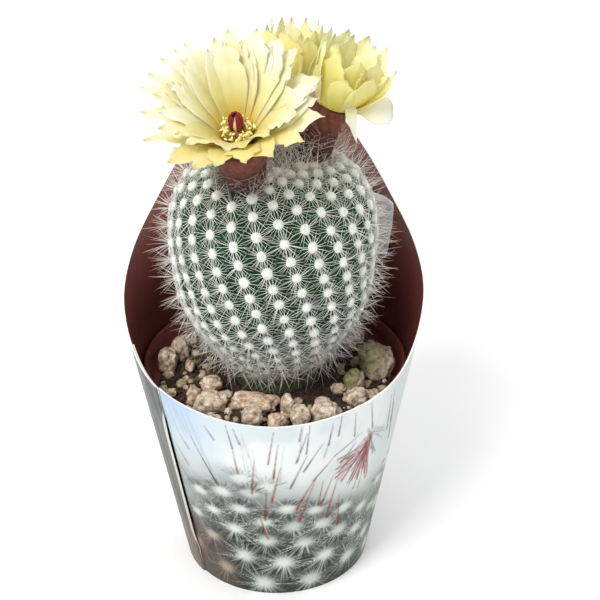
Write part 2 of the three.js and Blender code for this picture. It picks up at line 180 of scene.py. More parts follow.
def put(name, parts, slot, *nodes):
    """Joins the parts in one mesh in metres, which rides on the pot and stands for the CAD nodes."""
    finishes, loops, sizes, slots, smooths = [], [], [], [], []
    base = 0
    for p in parts:
        for faces, finish, smooth in p["faces"]:
            if finish not in finishes:
                finishes.append(finish)
            loops.append((faces + base).ravel())
            sizes.append(np.full(len(faces), faces.shape[1]))
            slots.append(np.full(len(faces), finishes.index(finish)))
            smooths.append(np.full(len(faces), smooth))
        base += len(p["points"])
    points = np.concatenate([p["points"] for p in parts]) * MM
    loops, sizes = np.concatenate(loops), np.concatenate(sizes)
    mesh = bpy.data.meshes.new(name)
    mesh.vertices.add(len(points))
    mesh.vertices.foreach_set("co", points.astype(np.float32).ravel())
    mesh.loops.add(len(loops))
    mesh.polygons.add(len(sizes))
    mesh.polygons.foreach_set("loop_start", np.concatenate([[0], np.cumsum(sizes)[:-1]]).astype(np.int32))
    mesh.polygons.foreach_set("vertices", loops.astype(np.int32))
    mesh.polygons.foreach_set("material_index", np.concatenate(slots).astype(np.int32))
    mesh.polygons.foreach_set("use_smooth", np.concatenate(smooths).astype(bool))
    uv = np.concatenate([p["uv"] for p in parts])[loops]
    mesh.uv_layers.new(name="UVMap").data.foreach_set("uv", uv.astype(np.float32).ravel())
    for key in sorted({k for p in parts for k in p["values"]}):
        sample = next(np.asarray(p["values"][key]) for p in parts if key in p["values"])
        wide = sample.ndim > 1
        blank = (4,) if wide else ()
        data = [
            np.broadcast_to(np.asarray(p["values"].get(key, 0.0), float), (len(p["points"]), *blank))
            for p in parts
        ]
        layer = mesh.attributes.new(key, "FLOAT_COLOR" if wide else "FLOAT", "POINT")
        field = "color" if wide else "value"
        layer.data.foreach_set(field, np.concatenate(data).astype(np.float32).ravel())
    mesh.update()
    for finish in finishes:
        mesh.materials.append(finish)
    piece = bpy.data.objects.new(name, mesh)
    bpy.context.scene.collection.objects.link(piece)
    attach(piece, "root")
    if nodes:
        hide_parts(*nodes)
    return piece


def threads(paths, radii, sides, finish, **values):
    """Thin rods: paths is (n, k, 3) and radii (n, k); rings of corners stand square to each path."""
    n, k = radii.shape
    ahead = unit(np.gradient(paths, axis=1))
    side = unit(np.cross(ahead, np.where(np.abs(ahead[..., 2:]) > 0.9, [1.0, 0, 0], [0, 0, 1.0])))
    other = np.cross(ahead, side)
    turn = np.arange(sides) * 2 * np.pi / sides
    ring = np.cos(turn)[:, None] * side[:, :, None] + np.sin(turn)[:, None] * other[:, :, None]
    points = paths[:, :, None] + radii[:, :, None, None] * ring
    j, s = np.arange(k - 1)[:, None], np.arange(sides)[None]
    a, b = j * sides + s, j * sides + (s + 1) % sides
    quads = np.stack([a, b, b + sides, a + sides], -1).reshape(-1, 4)
    ends = np.stack([np.arange(sides)[::-1], np.arange(sides) + (k - 1) * sides])
    spread = {key: np.repeat(np.asarray(v), k * sides) for key, v in values.items()}
    along = np.broadcast_to(np.linspace(0, 1, k)[None, :, None], (n, k, sides))
    uv = np.stack([along * 0, along], -1)
    return part(points, repeated([quads, ends], n, k * sides, finish), finish, uv=uv, **spread)


def ball(nu, nv):
    """Unit directions of an nu by nv globe without its poles, then the two poles, and its faces."""
    turn = (np.arange(nu) * 2 * np.pi / nu)[:, None]
    rise = np.linspace(-np.pi / 2, np.pi / 2, nv + 2)[1:-1]
    level = np.cos(rise)
    rings = np.stack([np.cos(turn) * level, np.sin(turn) * level, np.sin(rise) + 0 * turn], -1)
    poles = [[0, 0, -1.0], [0, 0, 1.0]]
    return np.concatenate([rings.reshape(-1, 3), poles]), [grid(nu, nv, True), caps(nu, nv)]


def many_balls(centres, frames, sizes, nu, nv, finish, lumps, **values):
    """A ball at each centre, stretched by sizes (n, 3) along its frame's rows and lumped by noise."""
    directions, faces = ball(nu, nv)
    n, m = len(centres), len(directions)
    spot = directions[None] * 1.9 + np.arange(n)[:, None, None] * 5.3
    shape = directions[None] * sizes[:, None, :] * (1 + lumps * noise(spot, 3))[..., None]
    points = centres[:, None] + np.einsum("nmi,nij->nmj", shape, frames)
    spread = {key: np.repeat(np.asarray(v), m) for key, v in values.items()}
    return part(points, repeated(faces, n, m, finish), finish, **spread)


def random_frames(n):
    """n random turns as (n, 3, 3) rows."""
    a = unit(CHANCE.normal(size=(n, 3)))
    b = unit(np.cross(a, CHANCE.normal(size=(n, 3))))
    return np.stack([a, b, np.cross(a, b)], 1)


def lathe(profile, segments, finish, **values):
    """A profile of (radius, height) turned about Z, closed at both ends by poles on the axis."""
    radius, height = np.asarray(profile, float).T
    turn = (np.arange(segments) * 2 * np.pi / segments)[:, None]
    rings = np.stack([radius * np.cos(turn), radius * np.sin(turn), height + 0 * turn], -1)
    points = np.concatenate([rings.reshape(-1, 3), [[0, 0, height[0]], [0, 0, height[-1]]]])
    n = len(radius)
    faces = [(grid(segments, n, True), finish, True), (caps(segments, n), finish, False)]
    return part(points, faces, finish, **values)


def round_point(turn, radius, height):
    """The point at this turn (degrees from the front towards +X), radius and height."""
    a = np.radians(turn)
    return np.stack([radius * np.sin(a), -radius * np.cos(a), height + 0 * a], -1)


# ---- Finishes ----


def rgb(r, g, b, alpha=1.0):
    """Linear colour from 0-255 display values."""
    c = np.array([r, g, b]) / 255
    c = np.where(c <= 0.04045, c / 12.92, ((c + 0.055) / 1.055) ** 2.4)
    return (*c.tolist(), alpha)


def node_group(name, inputs, outputs, kinds):
    """A shader group with named sockets: its tree, its two ends and one inner node of each kind."""
    tree = bpy.data.node_groups.new(name, "ShaderNodeTree")
    for label, kind, usual in inputs:
        socket = tree.interface.new_socket(label, in_out="INPUT", socket_type="NodeSocket" + kind)
        if usual is not None:
            socket.default_value = usual
    for label, kind in outputs:
        tree.interface.new_socket(label, in_out="OUTPUT", socket_type="NodeSocket" + kind)
    start, end = tree.nodes.new("NodeGroupInput"), tree.nodes.new("NodeGroupOutput")
    return tree, start.outputs, end.inputs, [tree.nodes.new("ShaderNode" + kind) for kind in kinds]


def join(tree, *links):
    """Links the sockets of each pair."""
    for a, b in links:
        tree.links.new(a, b)


def grain_group():
    """Fine grain over a colour: soft-light mottling, the grain itself, and a normal raised by it."""
    tree, given, made, (cloud, tone, blend, raised) = node_group(
        "surface grain",
        (
            ("Place", "Vector", None), ("Pitch", "Float", 1.0), ("Detail", "Float", 3.0),
            ("Roughness", "Float", 0.55), ("Colour", "Color", None), ("Contrast", "Float", 0.3),
            ("Relief", "Float", 0.3), ("Depth", "Float", 0.0001),
        ),
        (("Colour", "Color"), ("Grain", "Float"), ("Normal", "Vector")),
        ("TexNoise", "ValToRGB", "Mix", "Bump"),
    )
    for element, (place, grey) in zip(tone.color_ramp.elements, ((0.3, 0.25), (0.7, 0.75))):
        element.position, element.color = place, (grey, grey, grey, 1)
    blend.data_type, blend.blend_type = "RGBA", "SOFT_LIGHT"
    join(
        tree,
        (given["Place"], cloud.inputs["Vector"]),
        (given["Pitch"], cloud.inputs["Scale"]),
        (given["Detail"], cloud.inputs["Detail"]),
        (given["Roughness"], cloud.inputs["Roughness"]),
        (cloud.outputs[0], tone.inputs[0]),
        (given["Contrast"], blend.inputs[0]),
        (given["Colour"], blend.inputs[6]),
        (tone.outputs[0], blend.inputs[7]),
        (cloud.outputs[0], raised.inputs["Height"]),
        (given["Relief"], raised.inputs["Strength"]),
        (given["Depth"], raised.inputs["Distance"]),
        (blend.outputs[2], made["Colour"]),
        (cloud.outputs[0], made["Grain"]),
        (raised.outputs[0], made["Normal"]),
    )
    return tree


def moss_group():
    """Moss over a colour: mottled green where the moss share, broken up by noise, is high enough."""
    tree, given, made, (cloud, tone, green, patch, share, cover, blend) = node_group(
        "moss cover",
        (
            ("Place", "Vector", None), ("Colour", "Color", None), ("Moss", "Float", None),
            ("Pitch", "Float", None), ("Dark", "Color", None), ("Pale", "Color", None),
        ),
        (("Colour", "Color"),),
        ("TexNoise", "ValToRGB", "Mix", "TexNoise", "Math", "ValToRGB", "Mix"),
    )
    for ramp, low, high in ((tone, 0.3, 0.7), (cover, 0.25, 0.5)):
        ramp.color_ramp.elements[0].position = low
        ramp.color_ramp.elements[1].position = high
    green.data_type = blend.data_type = "RGBA"
    share.operation = "MULTIPLY"
    cloud.inputs["Detail"].default_value = 5.0
    patch.inputs["Scale"].default_value = 0.7
    join(
        tree,
        (given["Place"], cloud.inputs["Vector"]),
        (given["Pitch"], cloud.inputs["Scale"]),
        (cloud.outputs[0], tone.inputs[0]),
        (tone.outputs[0], green.inputs[0]),
        (given["Dark"], green.inputs[6]),
        (given["Pale"], green.inputs[7]),
        (given["Place"], patch.inputs["Vector"]),
        (given["Moss"], share.inputs[0]),
        (patch.outputs[0], share.inputs[1]),
        (share.outputs[0], cover.inputs[0]),
        (cover.outputs[0], blend.inputs[0]),
        (given["Colour"], blend.inputs[6]),
        (green.outputs[2], blend.inputs[7]),
        (blend.outputs[2], made["Colour"]),
    )
    return tree


GRAIN = grain_group()
MOSS = moss_group()


class Finish:
    """A material with short calls that add nodes to its tree."""

    def __init__(self, name):
        self.material = bpy.data.materials.new(name)
        self.material.use_nodes = True
        self.tree = self.material.node_tree
        self.tree.nodes.clear()
        self.end = self.tree.nodes.new("ShaderNodeOutputMaterial")

    def add(self, kind, settings=None, **inputs):
        """A node; inputs are named by socket with _ for a space, or by s0, s1 for a place."""
        made = self.tree.nodes.new("ShaderNode" + kind)
        for key, value in (settings or {}).items():
            setattr(made, key, value)
        for key, value in inputs.items():
            place = key[1:]
            socket = made.inputs[int(place) if key[0] == "s" and place.isdigit() else key.replace("_", " ")]
            if isinstance(value, bpy.types.NodeSocket):
                self.tree.links.new(value, socket)
            else:
                socket.default_value = value
        return made

    def spot(self, scale=(1000, 1000, 1000)):
        """Object coordinates in millimetres, or stretched."""
        place = self.add("TexCoord").outputs["Object"]
        return self.add("VectorMath", {"operation": "MULTIPLY"}, s0=place, s1=scale).outputs[0]

    def sheet(self, scale):
        """The piece's own UV map, stretched."""
        place = self.add("TexCoord").outputs["UV"]
        return self.add("VectorMath", {"operation": "MULTIPLY"}, s0=place, s1=scale).outputs[0]

    def value(self, name, output="Fac"):
        """An attribute of the mesh."""
        return self.add("Attribute", {"attribute_name": name}).outputs[output]

    def noise(self, place, scale, detail=3.0, rough=0.55):
        """Cloudy noise, 0 to 1."""
        return self.add("TexNoise", Vector=place, Scale=scale, Detail=detail, Roughness=rough).outputs["Fac"]

    def cells(self, place, scale):
        """Distance from the nearest of some scattered points."""
        return self.add("TexVoronoi", Vector=place, Scale=scale).outputs["Distance"]

    def ramp(self, fac, *stops):
        """Colours or greys at places from 0 to 1."""
        made = self.add("ValToRGB", Fac=fac)
        line = made.color_ramp.elements
        while len(line) < len(stops):
            line.new(0.5)
        for element, (place, colour) in zip(line, stops):
            element.position = place
            element.color = colour if isinstance(colour, tuple) else (colour, colour, colour, 1)
        return made.outputs["Color"]

    def mix(self, fac, a, b, blend="MIX"):
        """Colour b over colour a by this share."""
        made = self.add("Mix", {"data_type": "RGBA", "blend_type": blend}, s0=fac, s6=a, s7=b)
        return made.outputs[2]

    def maths(self, kind, a, b=0.0):
        """A Math node's result."""
        return self.add("Math", {"operation": kind}, s0=a, s1=b).outputs[0]

    def bump(self, height, strength, distance, under=None):
        """A normal raised by the height, its distance in mm, over another normal if there is one."""
        more = {} if under is None else {"Normal": under}
        return self.add("Bump", Height=height, Strength=strength, Distance=distance * MM, **more).outputs[0]

    def group(self, tree, **inputs):
        """A shared group's outputs, with its inputs linked or set."""
        made = self.tree.nodes.new("ShaderNodeGroup")
        made.node_tree = tree
        for key, value in inputs.items():
            if isinstance(value, bpy.types.NodeSocket):
                self.tree.links.new(value, made.inputs[key])
            else:
                made.inputs[key].default_value = value
        return made.outputs

    def grain(self, place, pitch, colour, contrast, relief, depth, detail=3.0, rough=0.55):
        """The shared grain: its mottled colour, the grain itself and the raised normal."""
        size = {"Place": place, "Pitch": pitch, "Detail": detail, "Roughness": rough}
        over = {"Colour": colour, "Contrast": contrast, "Relief": relief, "Depth": depth * MM}
        made = self.group(GRAIN, **size, **over)
        return made["Colour"], made["Grain"], made["Normal"]

    def moss(self, place, colour, pitch, dark, pale):
        """The shared moss over a colour, where the mesh says it grows."""
        share = self.value("moss")
        made = self.group(MOSS, Place=place, Colour=colour, Moss=share, Pitch=pitch, Dark=dark, Pale=pale)
        return made["Colour"]

    def skin(self, **inputs):
        """The Principled shader as the surface."""
        shader = self.add("BsdfPrincipled", **inputs)
        self.tree.links.new(shader.outputs[0], self.end.inputs["Surface"])
        return shader

    def lit_through(self, share, shader, **inputs):
        """share of a Translucent shader over the Principled one."""
        thin = self.add("BsdfTranslucent", **inputs)
        both = self.add("MixShader", s0=share, s1=shader.outputs[0], s2=thin.outputs[0])
        self.tree.links.new(both.outputs[0], self.end.inputs["Surface"])


def stem_skin():
    """Deep green skin, paler and browner at the corky foot, with painted shade darkening the hollows between
    tubercles.
    """
    f = Finish("stem skin")
    mm = f.spot()
    green = f.ramp(f.noise(mm, 0.35, 4), (0.3, rgb(10, 38, 20)), (0.7, rgb(24, 70, 36)))
    # painted shade: the skin goes darker green where the tubercle swell is low, in the hollows between them
    dip_shade = f.ramp(f.value("swell"), (0.0, rgb(4, 18, 9)), (0.6, rgb(28, 80, 42)))
    colour = f.mix(0.5, green, dip_shade)
    foot = f.ramp(f.noise(mm, 1.1, 5), (0.35, rgb(76, 88, 68)), (0.65, rgb(128, 134, 106)))
    colour = f.mix(f.value("foot"), colour, foot)
    colour, _, raised = f.grain(mm, 5.0, colour, 0.35, 0.5, 0.12)
    rough = f.ramp(f.noise(mm, 1.6), (0.3, 0.42), (0.7, 0.62))
    f.skin(Base_Color=colour, Roughness=rough, Specular_IOR_Level=0.18, Normal=raised)
    return f.material


def spine_finish(name, pale, dull, tip):
    """Glassy bristle: pale or duller from rod to rod, and tip coloured at its end."""
    f = Finish(name)
    along = f.add("SeparateXYZ", Vector=f.sheet((1, 1, 1))).outputs["Y"]
    body = f.ramp(f.value("tone"), (0.0, dull), (0.6, pale))
    colour = f.mix(f.ramp(along, (0.6, 0.0), (1.0, 1.0)), body, tip)
    shader = f.skin(Base_Color=colour, Roughness=0.45)
    f.lit_through(0.15, shader, Color=colour)
    return f.material


def felt_finish():
    """Felt of the pads: white, and beige where the tone is high near the crown."""
    f = Finish("areole felt")
    mm = f.spot()
    white = f.ramp(f.noise(mm, 2.5, 4), (0.3, rgb(214, 222, 208)), (0.6, rgb(250, 252, 246)))
    beige = f.ramp(f.noise(mm, 2.2, 4), (0.3, rgb(222, 204, 192)), (0.7, rgb(250, 240, 232)))
    colour, _, raised = f.grain(mm, 7.0, f.mix(f.value("tone"), white, beige), 0.45, 0.8, 0.22, 4)
    f.skin(Base_Color=colour, Roughness=0.95, Normal=raised)
    return f.material


def midway(a, b):
    """The colour midway between two."""
    return tuple((x + y) / 2 for x, y in zip(a, b))


def petal_finish(name, base, middle, edge, shade):
    """Thin petal: warm at the base, pale at the edges, with fine lines along it, and painted shade towards
    the shade colour where the tone is high.
    """
    f = Finish(name)
    ends = f.add("SeparateXYZ", Vector=f.sheet((1, 1, 1)))
    across, along = ends.outputs["X"], ends.outputs["Y"]
    body = f.ramp(
        along,
        (0.0, base),
        (0.16, base),
        (0.4, middle),
        (0.66, midway(middle, edge)),
        (0.9, edge),
        (1.0, rgb(222, 224, 196)),
    )
    off = f.maths("ABSOLUTE", f.maths("SUBTRACT", across, 0.5))
    margin = f.ramp(off, (0.34, 0.0), (0.5, 1.0))
    body = f.mix(f.maths("MULTIPLY", margin, 0.8), body, edge)
    body, lines, raised = f.grain(f.sheet((34, 2.0, 1)), 1.0, body, 0.34, 0.5, 0.16, 2)
    blotch = f.ramp(f.noise(f.spot(), 0.22, 3), (0.42, 0.0), (0.7, 1.0))
    body = f.mix(f.maths("MULTIPLY", blotch, 0.25), body, shade)
    # painted shade: the tone, a little random and mostly set on the petals turned to the front, darkens them
    # towards the shade colour
    body = f.mix(f.value("tone"), body, shade)
    shader = f.skin(Base_Color=body, Roughness=f.ramp(lines, (0.3, 0.3), (0.7, 0.5)), Normal=raised)
    f.lit_through(0.4, shader, Color=body)
    return f.material


def tube_finish():
    """Dark maroon scales of the flower tube, browner towards its top."""
    f = Finish("flower tube")
    mm = f.spot()
    dark = f.ramp(f.noise(mm, 0.9, 4), (0.3, rgb(44, 18, 18)), (0.7, rgb(86, 44, 40)))
    top = f.ramp(f.noise(mm, 0.9, 4), (0.3, rgb(84, 38, 28)), (0.7, rgb(128, 70, 46)))
    colour = f.mix(f.value("top"), dark, top)
    scale = f.cells(mm, 0.75)
    colour = f.mix(0.5, colour, f.ramp(scale, (0.0, 0.62), (0.8, 0.3)), "SOFT_LIGHT")
    f.skin(Base_Color=colour, Roughness=0.8, Normal=f.bump(scale, 0.6, 0.5))
    return f.material


def stamen_finish():
    """Cream-yellow threads with paler grainy tips."""
    f = Finish("stamens")
    grain = f.noise(f.spot(), 6.0, 3)
    thread = f.ramp(grain, (0.3, rgb(250, 222, 96)), (0.7, rgb(254, 240, 150)))
    tip = f.ramp(grain, (0.3, rgb(250, 232, 130)), (0.7, rgb(255, 248, 196)))
    colour, _, raised = f.grain(f.spot(), 6.0, f.mix(f.value("tone"), thread, tip), 0.3, 0.5, 0.1)
    f.skin(Base_Color=colour, Roughness=0.7, Normal=raised)
    return f.material


def stigma_finish():
    """Dark red velvet lobes around a cream heart."""
    f = Finish("stigma")
    grain = f.noise(f.spot(), 4.0, 3)
    red = f.ramp(grain, (0.3, rgb(92, 0, 14)), (0.7, rgb(150, 8, 30)))
    cream = f.ramp(grain, (0.3, rgb(236, 196, 170)), (0.7, rgb(252, 232, 200)))
    colour, _, raised = f.grain(f.spot(), 4.0, f.mix(f.value("tone"), red, cream), 0.3, 0.5, 0.08)
    f.skin(Base_Color=colour, Roughness=0.4, Normal=raised)
    return f.material


def stone_finish():
    """Pumice: beige to pinkish, with dark pores painted as shade in the pits, pale dust and a little moss.
    """
    f = Finish("pumice")
    mm = f.spot()
    body = f.ramp(
        f.noise(mm, 0.7, 6, 0.62),
        (0.34, rgb(142, 124, 108)),
        (0.5, rgb(214, 196, 174)),
        (0.64, rgb(246, 238, 224)),
    )
    warm = f.ramp(f.value("tone"), (0.0, rgb(226, 220, 212)), (1.0, rgb(250, 222, 190)))
    body = f.mix(0.45, body, warm, "MULTIPLY")
    body, _, under = f.grain(mm, 3.0, body, 0.55, 0.8, 0.35, 6, 0.7)
    # painted shade: the pores are only bumped, so their dark brown stands for the shade inside the pits
    pores = f.cells(mm, 1.9)
    holes = f.ramp(pores, (0.08, 1.0), (0.3, 0.0))
    gate = f.ramp(f.noise(mm, 0.9, 2), (0.45, 0.0), (0.6, 1.0))
    holes = f.mix(1.0, holes, gate, "MULTIPLY")
    body = f.mix(holes, body, rgb(70, 52, 42))
    body = f.moss(mm, body, 1.3, rgb(92, 96, 52), rgb(186, 182, 126))
    f.skin(Base_Color=body, Roughness=0.95, Normal=f.bump(f.maths("SUBTRACT", 1.0, holes), 0.8, 0.3, under))
    return f.material


def soil_finish():
    """Dark brown peat with lighter fibres and specks of moss."""
    f = Finish("soil")
    mm = f.spot()
    grain = f.noise(mm, 1.7, 6, 0.7)
    body = f.ramp(grain, (0.3, rgb(28, 18, 15)), (0.5, rgb(64, 46, 38)), (0.72, rgb(112, 88, 72)))
    specks = f.ramp(f.cells(mm, 0.8), (0.1, 1.0), (0.2, 0.0))
    body = f.mix(f.maths("MULTIPLY", specks, 0.5), body, rgb(150, 124, 100))
    body = f.moss(mm, body, 1.7, rgb(70, 78, 26), rgb(158, 160, 84))
    f.skin(Base_Color=body, Roughness=1.0, Normal=f.bump(grain, 1.0, 0.6))
    return f.material


def pot_finish():
    """Reddish-brown thin plastic, dusty inside."""
    f = Finish("pot plastic")
    mm = f.spot()
    body = f.ramp(f.noise(mm, 0.08, 4), (0.3, rgb(84, 34, 29)), (0.7, rgb(114, 50, 41)))
    dust = f.ramp(f.noise(mm, 0.5, 5, 0.65), (0.5, 0.0), (0.8, 0.5))
    body = f.mix(dust, body, rgb(150, 104, 86))
    f.skin(
        Base_Color=body,
        Roughness=f.ramp(f.noise(mm, 0.4), (0.3, 0.32), (0.7, 0.5)),
        Normal=f.bump(f.noise(mm, 1.2, 3), 0.12, 0.2),
    )
    return f.material


def print_finish():
    """Coated outer face of the card, whose printed pattern is the mesh's own colour."""
    f = Finish("sleeve print")
    colour, fleck, raised = f.grain(f.spot(), 2.6, f.value("print", "Color"), 0.12, 0.08, 0.05)
    rough = f.ramp(fleck, (0.3, 0.34), (0.7, 0.42))
    f.skin(Base_Color=colour, Roughness=rough, Specular_IOR_Level=0.2, Normal=raised)
    return f.material


def inside_finish():
    """Inner face of the card: painted shade keeps it dark maroon low down, painted light makes it paler
    pinkish brown towards the peak.
    """
    f = Finish("sleeve inside")
    mm = f.spot()
    height = f.add("SeparateXYZ", Vector=mm).outputs["Z"]
    # painted light and shade by height: dark maroon where shade falls low inside the sleeve, pale pinkish
    # brown where light reaches near the peak
    body = f.ramp(
        f.maths("DIVIDE", height, 115.0),
        (0.0, rgb(70, 26, 22)),
        (0.66, rgb(88, 36, 32)),
        (0.84, rgb(132, 88, 82)),
        (0.97, rgb(172, 138, 130)),
    )
    body, _, raised = f.grain(f.spot((1000, 1000, 300)), 1.4, body, 0.25, 0.15, 0.1, 4)
    f.skin(Base_Color=body, Roughness=0.6, Normal=raised)
    return f.material


def paper_finish(name, low, high, rough=0.7):
    """Plain paper with a faint fibre."""
    f = Finish(name)
    body = f.ramp(f.noise(f.spot(), 0.6, 3), (0.3, low), (0.7, high))
    body, _, raised = f.grain(f.spot(), 1.6, body, 0.15, 0.2, 0.08, 5)
    f.skin(Base_Color=body, Roughness=rough, Normal=raised)
    return f.material


def floor_finish():
    """Matt floor, very slightly clouded."""
    f = Finish("floor")
    cloud = f.noise(f.spot((3, 3, 3)), 1.0, 2)
    f.skin(Base_Color=f.ramp(cloud, (0.0, 0.90), (1.0, 0.92)), Roughness=0.85)
    return f.material


# ---- Sleeve, label, pot ----

SLEEVE_EDGE = [
    (-30, 57.8), (0, 56.6), (30, 57.8), (58, 60.2), (75, 65.4), (90, 71.8),
    (110, 78.2), (130, 86.4), (150, 99), (166, 109.5), (180, 113.5), (194, 109.5),
]
SEAM_TURN = -52.0
WRAP = 382.0
CARD = 0.4
CONE_FOOT = 22.8
CONE_FLARE = 0.181
INK_STRENGTH = 0.84


def sleeve_edge(turn):
    """Height of the card's upper edge, read along the smooth curve through its knots."""
    fine = spline(SLEEVE_EDGE, 400)
    around = np.abs((np.asarray(turn) + 180) % 360 - 180)
    return np.interp(around, fine[:, 0], fine[:, 1])


def sleeve_inside(height):
    """Inner radius of the card cone."""
    return CONE_FOOT + CONE_FLARE * height


# Rosettes of the printed pattern in front: turn, height, half-width in mm and how clear they are.
ROSETTES = [
    (-7.6, 3.8, 2.4, 0.8), (20.6, 4.0, 2.3, 0.75), (-30.7, 6.8, 1.9, 0.45), (-17.2, 12.9, 2.1, 0.85),
    (4.2, 11.5, 2.3, 1.0), (28.2, 11.5, 2.1, 1.0), (46.4, 6.8, 2.0, 0.8), (-4.2, 19.3, 2.3, 1.0),
    (15.6, 18.0, 2.2, 1.0), (-36.6, 16.9, 1.8, 0.5), (-21.3, 22.1, 2.2, 0.9), (9.1, 24.0, 2.5, 1.0),
    (34.9, 18.9, 2.2, 1.0), (49.5, 15.7, 1.9, 0.9), (-5.9, 25.8, 2.2, 0.9), (24.7, 23.2, 2.2, 1.0),
    (-17.9, 29.4, 2.2, 0.9), (-32.3, 26.5, 2.0, 0.8), (6.0, 30.0, 2.2, 0.9), (19.7, 28.4, 2.0, 0.7),
    (36.1, 25.9, 2.1, 0.8), (49.5, 22.6, 2.0, 0.7), (-11.8, 35.1, 2.1, 0.8), (-25.6, 33.9, 2.3, 0.8),
    (-39.0, 31.6, 2.0, 0.7), (-15.3, 39.5, 2.2, 0.5), (-3.5, 37.4, 2.2, 0.5), (-44.8, 22.8, 1.7, 0.5),
    (61.0, 11.0, 1.9, 0.9), (62.0, 19.5, 1.9, 0.8), (63.0, 27.5, 1.9, 0.6), (-51.5, 11.0, 1.8, 0.4),
]
# Long printed spines: from turn, height to turn, height, width in mm, and 1 where they are red.
STROKES = [
    (0, 55, -2.6, 45, 0.22, 0.4), (1.7, 51.2, -0.5, 40.3, 0.3, 0.6), (-8.5, 45.9, -10.5, 35.2, 0.34, 0.8),
    (2.6, 43.8, -1.6, 32.3, 0.34, 0.7), (-3.9, 36.2, -5, 26.4, 0.36, 0.6),
    (-8.3, 28.7, -4.1, 19.9, 0.36, 0.7), (13.4, 53.8, 9.4, 45.1, 0.26, 0.1),
    (11.1, 56.2, 10.3, 51.9, 0.2, 0.0), (13.9, 47, 7, 36.9, 0.28, 0.3), (20.5, 50, 12.7, 42, 0.24, 0.0),
    (24, 55.5, 23, 49.1, 0.24, 0.0), (27.6, 57, 27.2, 51.1, 0.22, 0.0),
    (34.2, 56.5, 35.4, 49.2, 0.2, 0.0), (42, 57.5, 45.6, 49.1, 0.22, 0.0),
    (39.2, 49.3, 26.6, 45, 0.22, 0.2), (26.6, 45, 17.5, 38.5, 0.3, 0.7),
    (17.5, 38.5, 10.1, 29.7, 0.38, 0.9), (19, 40, 11.7, 25.3, 0.36, 0.9),
    (27, 38.6, 22.2, 29.4, 0.34, 0.9), (30.4, 39.6, 25.8, 25.1, 0.32, 0.8),
    (22.2, 37.7, 20.8, 29.7, 0.26, 0.6), (31.5, 31.2, 33.7, 21, 0.3, 0.7),
    (-19.1, 56, -17.3, 49, 0.2, 0.1), (-17.3, 49, -16.2, 41.2, 0.3, 0.7),
    (-16.2, 55.3, -14, 50.8, 0.22, 0.1), (-37.3, 49.1, -28, 36.9, 0.26, 0.2),
    (-44, 48.1, -40.2, 44.4, 0.2, 0.0), (-49.2, 44.1, -42.9, 38.6, 0.22, 0.0),
    (-52.3, 38, -42.4, 32.3, 0.22, 0.1), (-28.9, 54.3, -25.3, 50.6, 0.2, 0.0),
    (14.3, 56.4, 13.5, 47.6, 0.2, 0.0), (55.5, 56, 58.9, 44.3, 0.28, 0.0),
    (57.5, 57, 61.4, 45.6, 0.28, 0.0), (60, 52, 64, 40, 0.3, 0.0), (37, 47.1, 30, 42, 0.24, 0.1),
    (-33, 43, -27, 36, 0.22, 0.1),
]
TUFT = (43.5, 47.5)


def tint(r, g, b):
    """A display colour as an array of three linear numbers."""
    return np.array(rgb(r, g, b)[:3])


def cover(colour, ink, share):
    """A colour laid over the points' colours by each point's share."""
    return lerp(colour, ink, share[:, None])


def degree(height):
    """Length in mm of one degree along the card's outer face at a height."""
    return np.radians(1) * (sleeve_inside(height) + CARD)


def turn_from(turn, start):
    """Degrees from one turn to another, from -180 to 180."""
    return (turn - start + 180) % 360 - 180


def paint_haze(turn, height, spot):
    """Colours of the sky over the dark body, and the share of the body at each point.

    The line between the two wanders as noise and a slow cosine round the card.
    """
    cloud = layers(spot / 14, 5)
    blue = ease(-12, -44, turn) * ease(36, 54, height)
    sky = lerp(tint(238, 243, 242), tint(172, 198, 232), blue[:, None])
    sky = cover(sky, tint(206, 220, 224), ease(0.1, 0.9, cloud) * 0.7)
    sky = cover(sky, tint(196, 206, 202), ease(44, 66, np.abs(turn)) * 0.8)
    sky = cover(sky, tint(222, 230, 226), ease(46, 30, height) * 0.8)
    body = lerp(tint(3, 8, 6), tint(22, 36, 28), ease(-0.6, 0.7, layers(spot / 5, 9))[:, None])
    dusk = ease(-12, -34, turn) * ease(26, 10, height) + ease(-24, -46, turn) * ease(34, 18, height)
    body = cover(body, tint(78, 60, 48), np.clip(dusk, 0, 1))
    body = cover(body, tint(84, 80, 62), ease(12, 2, height) * 0.35)
    line = 33 + 4.5 * cloud + 3.5 * np.cos(np.radians(turn * 1.6 + 20)) - 4 * ease(15, 50, turn)
    inside = ease(line + 9, line - 19, height)
    return cover(sky, body, inside), inside


def all_rosettes():
    """The front rosettes, then six staggered rows of them round the back, fainter as they rise."""
    stars = list(ROSETTES)
    for row in range(6):
        for k in range(13):
            place = 72 + k * 17.5 + (row % 2) * 8.7 + CHANCE.normal() * 1.5
            if 70 < place < 305:
                stars.append((place, 4.5 + row * 6.6 + CHANCE.normal() * 0.5, 2.1, 0.95 - 0.1 * row))
    return stars


